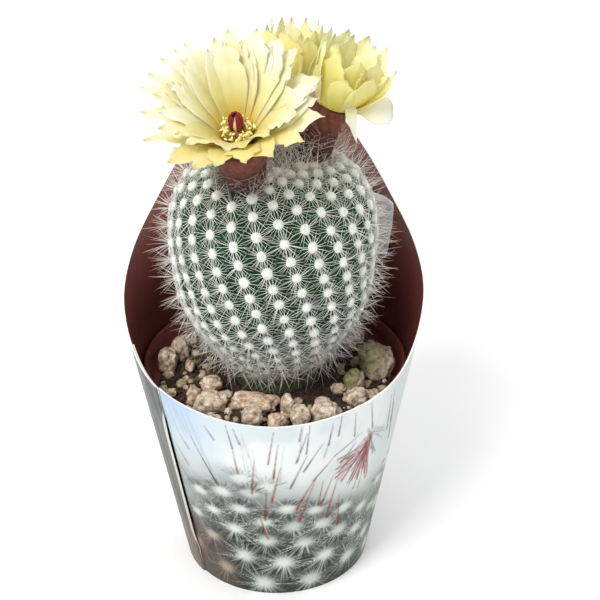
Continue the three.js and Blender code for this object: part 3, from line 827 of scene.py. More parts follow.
def paint_rosette(colour, inside, turn, height, star):
    """One rosette: a dark ring, fine rays at uneven turns and lengths, and a ragged pale pad."""
    place, level, size, clear = star
    size = size * lerp(1.32, 1.15, float(ease(12, 30, level)))
    dx, dz = turn_from(turn, place) * degree(height), height - level
    near = np.abs(dx) + np.abs(dz) < 15
    dx, dz = dx[near], dz[near] * (1.1 + 0.5 * ease(5, 35, level))
    reach = np.hypot(dx, dz)
    count = 52
    lean = CHANCE.uniform(-0.4, 0.4, count)
    long = CHANCE.uniform(5.0, 12.0, count)
    bright = CHANCE.uniform(0.1, 1.0, count)
    at = np.arctan2(dz, dx) / (2 * np.pi) * count
    k = np.round(at).astype(int) % count
    away = (at - np.round(at) - lean[k]) * 2 * np.pi / count * reach
    ray = np.exp(-((away / 0.13) ** 2)) * ease(long[k], long[k] * 0.4, reach) * bright[k]
    dark = inside[near]
    brown = float(ease(-22, -34, place) * ease(24, 12, level)) if place > -70 else 0.0
    pale = lerp(tint(226, 236, 226), tint(182, 158, 138), brown)
    ring = np.exp(-((reach / (size * 2.6)) ** 4)) * ease(size * 0.7, size * 1.3, reach)
    here = cover(colour[near], tint(14, 26, 20), ring * 0.7 * clear * np.clip(dark + 0.2, 0, 1))
    ink = np.where(dark[:, None] > 0.3, pale, tint(84, 102, 94))
    here = cover(here, ink, ray * clear * (0.3 + 0.6 * dark))
    ragged = 1.1 + 0.14 * np.sin(at * 2.1) + 0.1 * np.sin(at * 5.3)
    pad = ease(1.35, 0.25, reach / size * ragged)
    colour[near] = cover(here, pale, pad * (0.36 + 0.56 * clear))


def all_strokes(stars):
    """Strokes of the print: from turn, height to turn, height, width, redness and depth of ink.

    The long spines in front come first, then loose ones round the back and the front, the red
    tuft hanging from its head, and short hatching over the upper rosettes.
    """
    strokes = [(*line, 0.95) for line in STROKES]
    for k in range(90):
        back = k < 70
        place = CHANCE.uniform(66, 300) if back else CHANCE.uniform(-48, 60)
        level = CHANCE.uniform(24, 50) if back else CHANCE.uniform(38, 50)
        lean = CHANCE.normal() * 5 if back else place * 0.13 + CHANCE.normal() * 0.8
        red = CHANCE.choice([0.0, 0.1, 0.8]) if back else 0.05
        top = level + CHANCE.uniform(5, 12)
        strokes.append((place + lean, top, place, level, 0.2, red, 0.75 if back else 0.3))
    head, crest = TUFT
    for k in range(60):
        swing = CHANCE.uniform(-16, 5)
        fall = CHANCE.uniform(6, 18) * (1 - 0.025 * abs(swing))
        start = (head + CHANCE.uniform(-2, 3), crest - CHANCE.uniform(0, 6))
        strokes.append((*start, head + swing, crest - fall, 0.17, CHANCE.uniform(0.5, 1.0), 0.8))
    for k in range(14):
        start = (head + CHANCE.uniform(-2, 2), crest + CHANCE.uniform(-1, 2.5))
        end = (head + CHANCE.uniform(2, 13), crest - CHANCE.uniform(0, 9))
        strokes.append((*start, *end, 0.16, CHANCE.choice([0.1, 1.0]), 0.5))
    for place, level, size, clear in stars:
        for k in range(int(20 * ease(20, 30, level))):
            way = math.radians(CHANCE.uniform(20, 160))
            near, far = size * CHANCE.uniform(0.8, 1.2), size * CHANCE.uniform(1.4, 2.3)
            over, up = math.cos(way) / degree(level), math.sin(way) * 0.75
            start = (place + near * over, level + near * up)
            strokes.append((*start, place + far * over, level + far * up, 0.14, 0.0, 0.8 * clear))
    return strokes


def paint_stroke(colour, turn, height, wander, stroke):
    """One stroke: a bell across the segment, wider and stronger towards its second end."""
    t0, z0, t1, z1, wide, red, depth = stroke
    dx, dz = turn_from(turn, t0) * degree(height), height - z0
    ex, ez = (t1 - t0) * degree(height), z1 - z0
    q = np.clip((dx * ex + dz * ez) / (ex * ex + ez * ez), 0, 1)
    away = np.hypot(dx - q * ex, dz - q * ez)
    bell = np.exp(-((away / np.maximum(0.15, 0.05 + wide * (0.3 + 0.6 * q))) ** 2))
    mark = bell * depth * (0.6 + 0.4 * q) * (0.9 + 0.25 * wander)
    return cover(colour, lerp(tint(24, 30, 32), tint(158, 26, 26), red), mark)


def paint_print(turn, height, along):
    """Printed pattern: hazy sky over a dark body whose rosettes send out rays, with long spines.

    Distances are measured on the card in mm. Everything is laid over the last thing painted, and
    the card's two ends come last: a blurred strip, its white cut edge, and the lap's painted shadow.
    """
    shape = turn.shape
    turn, height, along = turn.ravel(), height.ravel(), along.ravel()
    spot = np.stack([turn * 0.5, height, 0 * turn], -1)
    colour, inside = paint_haze(turn, height, spot)
    stars = all_rosettes()
    for star in stars:
        paint_rosette(colour, inside, turn, height, star)
    wander = noise(spot / 0.9, 77)
    for stroke in all_strokes(stars):
        colour = paint_stroke(colour, turn, height, wander, stroke)
    streak = layers(np.stack([turn * 0.9 + height * 0.12, height * 0.05, 0 * turn], -1), 31)
    blur = lerp(tint(30, 33, 28), tint(92, 94, 82), ease(-0.5, 0.6, streak)[:, None])
    blur = cover(blur, tint(120, 104, 88), ease(24, 8, height) * 0.7)
    colour = cover(colour, blur, ease(40, 26, along) * 0.92)
    cut = ease(1.2, 0.7, along) * ease(9, 12, height) * ease(53, 50, height)
    colour = cover(colour, tint(244, 242, 236), cut)
    # painted shadow: a near-black line on the inner layer beside the lap's cut edge stands for the shade in
    # the gap under it
    lap = ease(359.35, 359.6, along) * ease(15, 18, height) * ease(52, 50, height)
    colour = cover(colour, tint(12, 9, 8), lap)
    return np.concatenate([colour * INK_STRENGTH, np.ones((len(colour), 1))], 1).reshape(*shape, 4)


LAP_LIFT = 0.44
LAP_GAPE = 0.5
SLEEVE_ROWS = 186
INSIDE_ROWS = 5
SLEEVE_COLUMNS = ((0, 30, 32), (30, 225, 122), (225, WRAP, 340))


def sleeve_face(along, count, out):
    """Points and heights of one face of the card: out is 0 for the inner and 1 for the outer.

    The radius is the cone's with the lap's lift, eased away over 50 degrees. Near its outer end
    the card gapes between heights of 9 and 53 mm, and it thins to a glued edge above and below.
    """
    top = sleeve_edge(SEAM_TURN - along) - np.where(along > 360, 0.6, 0)
    height = top * np.linspace(0, 1, count)[None]
    lift = LAP_LIFT * (1 - ease(24, 50, along))
    gape = LAP_GAPE * ease(4, 0, along) * ease(9, 16, height) * ease(53, 46, height)
    shut = np.clip(ease(12, 8, height) + 0.5 * ease(50, 54, height), 0, 1)
    glued = 1 - 0.85 * ease(1.2, 0, along) * shut
    radius = sleeve_inside(height) + lift + gape + out * CARD * glued
    return round_point(np.broadcast_to(SEAM_TURN - along, height.shape), radius, height), height


def make_sleeve():
    """Card wound WRAP degrees from the seam towards -X: two faces joined by the edges cut between them."""
    ends = [np.linspace(a, b, n, endpoint=False) for a, b, n in SLEEVE_COLUMNS]
    along = np.concatenate([*ends, [WRAP]])[:, None]
    columns, rows, plain = len(along), SLEEVE_ROWS, INSIDE_ROWS
    outer, height = sleeve_face(along, rows, 1)
    inner, _ = sleeve_face(along, plain, 0)
    wide = np.broadcast_to(along, height.shape)
    printed = paint_print(turn_from(SEAM_TURN - wide, 0), height, wide)
    ink, bare = print_finish(), inside_finish()
    cut = paper_finish("card edge", rgb(222, 220, 212), rgb(246, 244, 238))
    n = columns * rows
    front, back = np.arange(columns) * rows, n + np.arange(columns) * plain
    foot = np.stack([front[:-1], back[:-1], back[1:], front[1:]], -1)
    head = [front[1:] + rows - 1, back[1:] + plain - 1, back[:-1] + plain - 1, front[:-1] + rows - 1]
    head = np.stack(head, -1)
    first = np.concatenate([np.arange(rows), n + np.arange(plain)[::-1]])
    last = np.concatenate([front[-1] + np.arange(rows)[::-1], back[-1] + np.arange(plain)])
    faces = [(grid(columns, rows)[:, ::-1], ink, True), (grid(columns, plain) + n, bare, True)]
    faces += [(edge[:, ::-1], cut, False) for edge in (foot, head, first[None], last[None])]
    colours = np.concatenate([printed.reshape(-1, 4), np.ones((columns * plain, 4)) * 0.3])
    points = np.concatenate([outer.reshape(-1, 3), inner.reshape(-1, 3)])
    put("printed_card_sleeve", [part(points, faces, ink, print=colours)], "card", "card_sleeve")


LABEL_TURN = (147.0, 19.9)
LABEL_HEIGHT = (78.25, 7.7)
LABEL_GAP = 0.3
LABEL_THICK = 0.25


def make_label():
    """Blank paper patch on the back board's inner face, a cone patch with rounded corners."""
    low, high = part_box("inner_label")
    u, v = np.meshgrid(np.linspace(-1, 1, 25), np.linspace(-1, 1, 17), indexing="ij")
    turn = LABEL_TURN[0] + LABEL_TURN[1] * u * (1 - 0.035 * np.abs(v) ** 8)
    height = LABEL_HEIGHT[0] + LABEL_HEIGHT[1] * v * (1 - 0.06 * np.abs(u) ** 8)
    curl = 0.5 * ease(0.7, 1, np.abs(u)) * ease(0.2, 1, v)
    radius = sleeve_inside(height) - LABEL_GAP - curl
    back, front = (round_point(turn, radius - depth, height) for depth in (0, LABEL_THICK))
    paper = paper_finish("label paper", rgb(216, 216, 226), rgb(234, 233, 242), 0.55)
    put("blank_label", [shell(back, front, paper, rim_smooth=False)], "label", "inner_label")


# The pot's outline, up its outside and down its inside.
POT_PROFILE = [
    (0.5, 0), (20.6, 0), (21.5, 0.25), (21.8, 1), (28.9, 48.4), (30.6, 48.7), (31.1, 49.3), (32.1, 54.3),
    (32.15, 54.8), (31.8, 55.1), (31.3, 55.05), (31.1, 54.6), (30.1, 50.4), (29.5, 49.9), (27.9, 49.2),
    (20.9, 1.6), (20.4, 1.2), (0.5, 1.2),
]
DRAIN_HOLES = 6
DRAIN_RADIUS = 3
DRAIN_RING = 14


def make_pot():
    """Thin pot turned from one profile, with a collar rim and drain holes cut through."""
    dense = []
    for a, b in zip(POT_PROFILE, POT_PROFILE[1:]):
        steps = max(2, int(math.dist(a, b) / 3))
        dense += list(np.linspace(a, b, steps, endpoint=False))
    pot = put("plastic_pot", [lathe([*dense, POT_PROFILE[-1]], 160, pot_finish())], "pot_plastic", "pot")
    drills = []
    for k in range(DRAIN_HOLES):
        bpy.ops.mesh.primitive_cylinder_add(vertices=40, radius=DRAIN_RADIUS * MM, depth=6 * MM)
        drill = bpy.context.object
        x, y, _ = round_point(30 + 60 * k, DRAIN_RING, 0)
        drill.data.transform(Matrix.Translation((x * MM, y * MM, 0)))
        cut = pot.modifiers.new(f"hole_{k}", "BOOLEAN")
        cut.operation, cut.solver, cut.object = "DIFFERENCE", "EXACT", drill
        drills.append(drill)
    bpy.context.view_layer.update()
    done = bpy.data.meshes.new_from_object(pot.evaluated_get(bpy.context.evaluated_depsgraph_get()))
    pot.modifiers.clear()
    pot.data = done
    for drill in drills:
        bpy.data.objects.remove(drill)


# ---- Soil and stones ----


def ground(x, y):
    """Height of the soil: level with lumps of three sizes."""
    p = np.stack([x, y, 0 * x], -1)
    return 49.7 + 0.45 * noise(p / 4.2, 3) + 0.3 * noise(p / 1.7, 8) + 0.14 * noise(p / 0.7, 12)


def scattered(count, reach, inner):
    """Random turns and radii on the soil: the radius is reach times the root of an even draw."""
    radius = reach * np.sqrt(CHANCE.uniform(inner, 1, count))
    turn = CHANCE.uniform(0, 2 * np.pi, count)
    return radius * np.cos(turn), radius * np.sin(turn)


MOSS_SPOTS = np.array([[-22.5, -3.0], [-19.5, -2.0], [-17.5, 1.5], [-21, 6]])


def moss_gap(x, y):
    """Distance from the nearest patch of moss."""
    return np.min(np.hypot(x[:, None] - MOSS_SPOTS[:, 0], y[:, None] - MOSS_SPOTS[:, 1]), 1)


def soil_bed(peat):
    """The soil itself: a lumpy disc, eased down at its rim, over a plain cone."""
    turn = (np.arange(240) * 2 * np.pi / 240)[:, None]
    radius = np.linspace(0.4, 29.2, 90)
    x, y = radius * np.cos(turn), radius * np.sin(turn)
    top = np.stack([x, y, ground(x, y) - 1.2 * ease(28.2, 29.2, np.hypot(x, y))], -1)
    radius, height = np.array([28.0, 27.4, 20.4, 0.4]), np.array([48.6, 47.5, 1.6, 1.6])
    side = np.stack([radius * np.cos(turn), radius * np.sin(turn), height + 0 * turn], -1)
    rings = np.concatenate([top, side], 1)[:, ::-1]
    points = np.concatenate([rings.reshape(-1, 3), [[0, 0, 1.6]], [[0, 0, rings[0, -1, 2]]]])
    gap = moss_gap(points[:, 0], points[:, 1]) + 1.2 * noise(points / 1.1, 5)
    moss = ease(2.6, 0.6, gap) * (points[:, 2] > 48)
    n = rings.shape[1]
    return part(points, [(grid(240, n, True), peat, True), (caps(240, n), peat, True)], peat, moss=moss)


def make_soil():
    """The bed with crumbs, pebbles and bark shreds lying on it, and a little moss."""
    peat = soil_finish()
    bed = soil_bed(peat)
    count = 900
    x, y = scattered(count, 28.2, 0.18)
    size = CHANCE.uniform(0.2, 0.62, count)[:, None] * CHANCE.uniform(0.7, 1.3, (count, 3))
    place = np.stack([x, y, ground(x, y) + size[:, 2] * 0.4], -1)
    moss = ease(2.4, 0.4, moss_gap(x, y))
    crumbs = many_balls(place, random_frames(count), size, 7, 4, peat, 0.5, moss=moss)
    grit = stone_finish()
    count = 210
    x, y = scattered(count, 28.0, 0.32)
    size = CHANCE.uniform(0.35, 1.35, count)[:, None] * CHANCE.uniform(0.75, 1.25, (count, 3))
    place = np.stack([x, y, ground(x, y) + size[:, 2] * 0.35], -1)
    frames = random_frames(count)
    moss, tone = CHANCE.choice([0.0, 0.0, 0.0, 0.7], count), CHANCE.uniform(0, 1, count)
    pebbles = many_balls(place, frames, size, 12, 8, grit, 0.35, moss=moss, tone=tone)
    count = 90
    x, y = scattered(count, 27.0, 0.25)
    lie = CHANCE.uniform(0, 2 * np.pi, count)[:, None]
    q = np.linspace(-1, 1, 5)[None] * CHANCE.uniform(0.8, 2.4, count)[:, None]
    x, y = x[:, None] + q * np.cos(lie), y[:, None] + q * np.sin(lie)
    paths = np.stack([x, y, ground(x, y) + 0.35 + 0.2 * q * CHANCE.normal(size=(count, 1))], -1)
    radii = np.tile([0.06, 0.14, 0.16, 0.12, 0.04], (count, 1))
    shreds = threads(paths, radii, 4, peat, moss=np.zeros(count))
    put("peat_soil", [bed, crumbs, pebbles, shreds], "soil", "soil")


STONES = 30
MOSSY_STONES = {18: 0.52, 20: 0.42, 11: 0.2, 15: 0.3}
WARM_STONE = 8


def make_stones():
    """Each pumice stone is a ball pressed towards a block, lumped by noise and pitted by pores."""
    directions, (quads, tris) = ball(56, 34)
    stone = stone_finish()
    block = np.sign(directions) * np.abs(directions) ** 0.78
    block /= np.linalg.norm(block, axis=1, keepdims=True) ** 0.55
    shaded = 2 * ease(-0.6, 0.5, directions[:, 2] - 0.9 * directions[:, 0])
    for number in range(1, STONES + 1):
        name = f"stone_{number:02d}"
        low, high = (np.array(corner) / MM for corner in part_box(name))
        middle, half = (low + high) / 2, (high - low) / 2
        spin = CHANCE.uniform(0, 6.28)
        c, s = math.cos(spin), math.sin(spin)
        turned = directions @ np.array([[c, s, 0], [-s, c, 0], [0, 0, 1]])
        far = directions * float(half.max()) / 2.2 + number * 9.7
        swell = 1.02 + 0.2 * noise(turned * 1.5 + number * 3.1, 1) + 0.13 * noise(turned * 3.3 + number, 2)
        swell += 0.06 * noise(far * 2.6, 4) + 0.035 * noise(far * 5.5, 6)
        swell -= 0.13 * np.clip(noise(far * 4.0, 14) - 0.35, 0, 1)
        points = middle + block * swell[:, None] * half * [1.06, 1.06, 1.3]
        points[:, 2] = np.maximum(points[:, 2], low[2] - 0.5)
        tone = np.full(len(points), 1.0 if number == WARM_STONE else CHANCE.uniform(0, 1))
        moss = MOSSY_STONES.get(number, 0.0) * shaded
        faces = [(quads, stone, True), (tris, stone, True)]
        put(f"pumice_{number:02d}", [part(points, faces, stone, moss=moss, tone=tone)], "pumice", name)


# ---- Stem, pads and spines ----

STEM_Y = 2.0
STEM_OUTLINE = [
    (0, 38), (4.5, 38.6), (7.8, 42), (9.4, 46.5), (10.6, 50.5), (13.2, 56), (17, 62), (20.5, 68), (22.8, 74),
    (23.7, 80.5), (24.3, 88), (23.6, 95), (21.7, 99.6), (18.8, 103), (14.4, 105.5), (8.6, 106.9),
    (3.4, 106.9), (0, 106.2),
]
MERIDIAN = spline(STEM_OUTLINE, 700)
# Length up the outline, counted from the stem's widest part at a height of 89.9.
ARC = np.concatenate([[0], np.cumsum(np.linalg.norm(np.diff(MERIDIAN, axis=0), axis=1))])
ARC -= np.interp(89.9, MERIDIAN[:520, 1], ARC[:520])
# Lattice of the areoles: one step along a rib and one step to the next rib, in degrees and mm.
RIBS = 25
RIB_TURN, RIB_ARC = 2.95, -4.05
RIB_STEP = np.array([RIB_TURN, RIB_ARC])
NEXT_RIB = np.array([(360 + 9 * RIB_TURN) / RIBS, 9 * RIB_ARC / RIBS])
LATTICE_START = np.array([-2.3, -0.25])
CROWN_STRETCH = 0.8


def outline(arc):
    """Radius and height of the stem's outline at a length up it."""
    return np.interp(arc, ARC, MERIDIAN[:, 0]), np.interp(arc, ARC, MERIDIAN[:, 1])


def stem_place(turn, arc, out=0.0):
    """Point at a turn and a length up the outline, moved out along its normal, with its three directions."""
    radius, height = outline(arc)
    (r_above, z_above), (r_below, z_below) = outline(arc + 0.4), outline(arc - 0.4)
    slope_r, slope_z = r_above - r_below, z_above - z_below
    length = np.maximum(np.hypot(slope_r, slope_z), 1e-6)
    slope_r, slope_z = slope_r / length, slope_z / length
    a = np.radians(turn)
    outward = np.stack([np.sin(a), -np.cos(a), 0 * a], -1)
    rise = np.array([0, 0, 1.0])
    normal = outward * slope_z[..., None] - rise * slope_r[..., None]
    upward = outward * slope_r[..., None] + rise * slope_z[..., None]
    across = np.stack([np.cos(a), np.sin(a), 0 * a], -1)
    place = outward * radius[..., None] + rise * height[..., None] + [0, STEM_Y, 0]
    return place + normal * np.asarray(out)[..., None], normal, across, upward


def swell_at(turn, arc):
    """Height of the tubercles, 0 to 1: a bell about the nearest areole of the lattice."""
    radius, _ = outline(arc)
    arc = arc - CROWN_STRETCH * ease(4, 17, arc)
    basis = np.array([NEXT_RIB, RIB_STEP]).T
    steps = np.einsum("ij,...j->...i", np.linalg.inv(basis), np.stack([turn, arc], -1) - LATTICE_START)
    best = np.full(turn.shape, 1e9)
    for corner in itertools.product((0, 1), repeat=2):
        offset = np.einsum("ij,...j->...i", basis, steps - np.floor(steps) - np.array(corner))
        best = np.minimum(best, np.hypot(np.radians(offset[..., 0]) * radius, offset[..., 1]))
    return np.exp(-((best / 1.9) ** 2))


def make_stem():
    """The turned outline, sunk between the tubercles and the ribs so that their tops lie near it."""
    nu, nv = 440, 190
    turn = np.linspace(180, -180, nu, endpoint=False)[::-1, None] * np.ones((1, nv))
    arc = np.linspace(ARC[0] + 0.6, ARC[-1] - 0.4, nv)[None] * np.ones((nu, 1))
    swell = swell_at(turn, arc)
    radius, height = outline(arc)
    low, crown = ease(52, 62, height), ease(5, 12, radius)
    ribs = 0.16 * np.cos(np.radians(RIBS * (turn - arc * RIB_TURN / RIB_ARC)))
    grain = np.stack([turn * 0.3, arc, 0 * arc], -1)
    bump = (0.95 * swell - 1.15 + ribs) * low * crown + 0.12 * noise(grain / 0.9, 2) * (1 - 0.6 * low)
    points = stem_place(turn, arc, bump)[0].reshape(-1, 3)
    poles = [[0, STEM_Y, MERIDIAN[0, 1]], [0, STEM_Y, MERIDIAN[-1, 1]]]
    foot = np.append(0.9 * ease(58, 52, height).ravel(), [1, 0])
    skin = stem_skin()
    faces = [(grid(nu, nv, True), skin, True), (caps(nu, nv), skin, True)]
    swell = np.append(swell.ravel(), [0, 0])
    body = part(np.concatenate([points, poles]), faces, skin, swell=swell, foot=foot)
    put("stem_skin", [body], "stem", "cactus_stem")


def areoles():
    """Turn and arc of every areole, from the foot to the crown."""
    i, j = np.meshgrid(np.arange(RIBS), np.arange(-12, 16), indexing="ij")
    spots = LATTICE_START + i.reshape(-1, 1) * NEXT_RIB + j.reshape(-1, 1) * RIB_STEP
    spots[:, 1] += CROWN_STRETCH * ease(4, 16, spots[:, 1])
    radius, height = outline(spots[:, 1])
    return spots[(height > 56) & (radius > 7.5) & (spots[:, 1] > -40)]


def make_pads(spots):
    """Low felt domes on the tubercles, slightly taller than wide, larger and beiger near the crown."""
    n = len(spots)
    turn, arc = spots.T
    place, normal, across, upward = stem_place(turn, arc, -0.1 + 0.25 * ease(8, 14, arc))
    crown = ease(ARC[-1] - 13.5, ARC[-1] - 10, arc)
    low = ease(68, 58, place[:, 2])
    directions, faces = ball(12, 5)
    wide = 1.16 + 0.05 * ease(6, 14, arc) + 0.3 * crown - 0.42 * low + CHANCE.normal(size=n) * 0.05
    tall = wide * CHANCE.uniform(1.0, 1.18, n)
    thick = 0.7 + 0.2 * ease(6, 14, arc)
    shape = directions[None] * np.stack([wide, tall, thick], -1)[:, None]
    shape *= (1 + 0.16 * noise(directions[None] * 2.1 + np.arange(n)[:, None, None] * 3.7, 4))[..., None]
    points = place[:, None] + np.einsum("nmi,nij->nmj", shape, np.stack([across, upward, normal], 1))
    felt = felt_finish()
    tone = np.clip(crown * CHANCE.uniform(0.3, 0.9, n) + 0.2 * low, 0, 1)
    m = len(directions)
    put("areole_pads", [part(points, repeated(faces, n, m, felt), felt, tone=np.repeat(tone, m))], "stem")


def bristles(spots, count, long, lift, thick, out, scatter, finish):
    """count rods round each areole, evenly turned with some scatter, leaving at the lift angle.

    A rod goes out from its pad along its own direction and bends back towards the skin as the
    square of its length. long and lift are (middle, spread), and lift is in degrees.
    """
    n = len(spots)
    some = (n, count)
    place, normal, across, upward = stem_place(spots[:, 0], spots[:, 1], out - 0.55)
    spread = CHANCE.uniform(-scatter, scatter, some) + CHANCE.uniform(0, 1, (n, 1))
    turn = ((np.arange(count)[None] + spread) * 2 * np.pi / count)[..., None]
    flat = np.cos(turn) * across[:, None] + np.sin(turn) * upward[:, None]
    rise = np.radians(lift[0] + lift[1] * CHANCE.normal(size=some))[..., None]
    length = np.maximum(long[0] + long[1] * CHANCE.normal(size=some), 1.2)[..., None]
    q = np.linspace(0, 1, 4)
    forward = np.cos(rise) * flat + np.sin(rise) * normal[:, None]
    paths = place[:, None, None] + 0.35 * flat[:, :, None] + (q * length)[..., None] * forward[:, :, None]
    paths = paths - (0.05 * length * q**2)[..., None] * normal[:, None, None]
    sway = CHANCE.normal(size=(n, count, 1, 1)) * 0.12 * q[:, None] ** 2
    paths = paths + sway * across[:, None, None]
    radii = thick * (1 - 0.72 * q**1.5) * CHANCE.uniform(0.75, 1.2, (n, count, 1))
    tone = CHANCE.uniform(0.4, 1.0, n * count)
    return threads(paths.reshape(-1, 4, 3), radii.reshape(-1, 4), 3, finish, tone=tone)


def make_spines(spots):
    """Flat rays round every pad, and a few longer ones that stand off it, longest at the crown."""
    height = stem_place(spots[:, 0], spots[:, 1])[0][:, 2, None]
    high, low = ease(97, 104, height), ease(66, 58, height)
    white = spine_finish("ray spines", rgb(252, 254, 248), rgb(214, 226, 206), rgb(246, 246, 236))
    grey = spine_finish("long spines", rgb(250, 248, 240), rgb(214, 200, 186), rgb(226, 196, 176))
    order = np.argsort(spots[:, 0] % 360)
    for number, some in enumerate(np.array_split(order, 3)):
        rays = bristles(spots[some], 20, (3.4 + 0.8 * low[some], 0.3), (8, 3), 0.076, 0.6, 0.2, white)
        put(f"ray_spines_{number + 1}", [rays], "stem")
    long = 5.2 + 2.2 * high + 0.8 * low
    stand = bristles(spots, 7, (long, 1.0), (56 - 14 * low, 17), 0.062, 0.8, 1.5, grey)
    put("long_spines", [stand], "stem")


def make_crown_wool():
    """Curly hairs over the crown between the flowers, greyer and pinker than the spines."""
    n = 760
    arc = CHANCE.uniform(ARC[-1] - 10, ARC[-1] - 1, n)
    turn = CHANCE.uniform(-180, 180, n)
    keep = CHANCE.uniform(0, 1, n) < outline(arc)[0] / 20
    place, normal, across, upward = stem_place(turn[keep], arc[keep], 0.2)
    n = len(place)
    q = np.linspace(0, 1, 6)[None]
    length = CHANCE.uniform(3.5, 9.5, n)[:, None]
    lean = CHANCE.normal(size=(n, 2, 1)) * 0.5
    curl = CHANCE.uniform(0, 6.28, (n, 2, 1))
    wave = 0.35 * np.sin(q[:, None] * CHANCE.uniform(3, 9, (n, 2, 1)) + curl) * q[:, None]
    side = ((lean * q[:, None] * 0.8 + wave) * length[:, None])[..., None]
    paths = place[:, None] + (length * q * (1 - 0.3 * q))[..., None] * normal[:, None]
    paths = paths + side[:, 0] * across[:, None] + side[:, 1] * upward[:, None]
    wool = spine_finish("crown wool", rgb(254, 250, 246), rgb(234, 216, 208), rgb(246, 236, 230))
    radii = 0.072 * (1 - 0.6 * q) * np.ones((n, 1))
    put("crown_wool", [threads(paths, radii, 3, wool, tone=CHANCE.uniform(0, 1, n))], "stem")


# ---- Flowers ----


PETAL_THICK = 0.13


def flower_frame(az, up):
    """Rows: level direction nearest +X, the direction square to it, and the flower's axis."""
    a, e = math.radians(az), math.radians(up)
    axis = np.array([math.sin(a) * math.cos(e), -math.cos(a) * math.cos(e), math.sin(e)])
    right = unit(np.array([1.0, 0, 0]) - axis * axis[0])
    return np.stack([right, np.cross(axis, right), axis])


def petals(rows, root, belly, lift, width, finish, seed):
    """Petals as thin shells in the flower's frame; a row is turn, reach, rise and share of width.

    The middle line is a parabola from the root ring through a belly point to the tip. The blade
    widens from a claw to its middle, then closes as 1 - x^p to a point, with p from 1.5 to 2.2 and
    small uneven teeth. It is cupped as the square of the distance across, creased along its claw,
    twisted evenly, waved at its edges and bowed to one side.
    """
    made = []
    source = np.random.default_rng(seed)
    nu, nv = 11, 34
    t = 1 - (1 - np.linspace(0, 1, nv)) ** 1.35
    u = np.linspace(-1, 1, nu)[:, None]
    up = np.array([0, 0, 1.0])
    uv = np.stack([np.broadcast_to(u * 0.5 + 0.5, (nu, nv)), np.broadcast_to(t, (nu, nv))], -1)
    for k, (turn, reach, rise, share) in enumerate(rows):
        foot, tip = np.array([root, 0.3]), np.array([reach, rise])
        knee = np.array([root + belly * (reach - root), 0.3 + lift * rise])
        line = ((1 - t) ** 2)[:, None] * foot + (2 * t * (1 - t))[:, None] * knee + (t**2)[:, None] * tip
        slope = unit(np.gradient(line, axis=0))
        claw = 0.42 + 0.58 * ease(0.0, 0.5, t)
        start = source.uniform(0.44, 0.62)
        x = np.clip((t - start) / (1 - start), 0, 1)
        point = np.clip(1 - x ** source.uniform(1.5, 2.2), 0.012, 1)
        half = 0.5 * width * share * claw * point
        ragged = np.stack(np.broadcast_arrays(t * 19 + k * 3.3, np.sign(u) + k, 0 * t), -1)
        teeth = 1 + 0.42 * noise(ragged, seed) * ease(0.6, 0.85, t) * np.abs(u)
        across = u * half * teeth
        twist = np.radians(source.normal() * 9) * ease(0.1, 0.9, t)
        cup = 0.1 * u**2 * half * (1 - 0.8 * t)
        wave = 0.27 * np.sin(t * source.uniform(7, 12) + source.uniform(0, 6)) * u * ease(0.25, 0.8, t)
        crease = 0.14 * np.exp(-((u / 0.16) ** 2)) * ease(0.1, 0.4, t)
        off = cup + wave * share - crease + across * np.sin(twist)
        a = math.radians(turn)
        out, side = np.array([math.cos(a), math.sin(a), 0]), np.array([-math.sin(a), math.cos(a), 0])
        inward = slope[:, 0, None] * up - slope[:, 1, None] * out
        points = line[:, 0, None] * out + line[:, 1, None] * up
        points = points + (across * np.cos(twist))[..., None] * side + off[..., None] * inward
        points = points + (0.5 * source.normal() * t**2)[:, None] * side
        normal = facing(points)
        flip = np.sign(np.sum(normal * inward))
        under = points - flip * normal * PETAL_THICK * (1 - 0.6 * t)[:, None]
        # painted shade: petals turned towards the front get a high tone, which the finish paints as shade
        near = ease(0.1, 0.9, -math.sin(a)) * 0.45
        tone = np.clip(near + source.uniform(-0.05, 0.18), 0, 1) * ease(0.2, 0.6, t)
        tone = np.broadcast_to(tone, (nu, nv))
        made.append(shell(points, under, finish, turned=flip < 0, uv=uv, tone=tone))
    return made


def placed(parts, throat, rows):
    """Parts moved from the flower's frame to the throat."""
    for p in parts:
        p["points"] = p["points"] @ rows + throat
    return parts


def make_stamens(count, ring, long, finish, seed):
    """Threads leaning out from the throat, each with a grainy anther across its tip."""
    source = np.random.default_rng(seed)
    turn = source.uniform(0, 2 * np.pi, count)
    start = source.uniform(*ring, count)
    lean = source.uniform(0.12, 0.55, count)
    length = source.uniform(long[0], long[1], count)
    q = np.linspace(0, 1, 4)[None]
    r = start[:, None] + (length * lean)[:, None] * q**1.5
    z = 0.3 + (length * np.sqrt(1 - lean**2))[:, None] * q
    paths = np.stack([r * np.cos(turn)[:, None], r * np.sin(turn)[:, None], z], -1)
    rods = threads(paths, np.tile([0.11, 0.1, 0.09, 0.08], (count, 1)), 4, finish, tone=np.zeros(count))
    size = np.stack([np.full(count, 0.26), np.full(count, 0.26), source.uniform(0.42, 0.62, count)], -1)
    tips = many_balls(paths[:, -1], random_frames(count), size, 7, 5, finish, 0.2, tone=np.ones(count))
    return [rods, tips]


STIGMA_GAP = -105
STIGMA_LOBES = 7


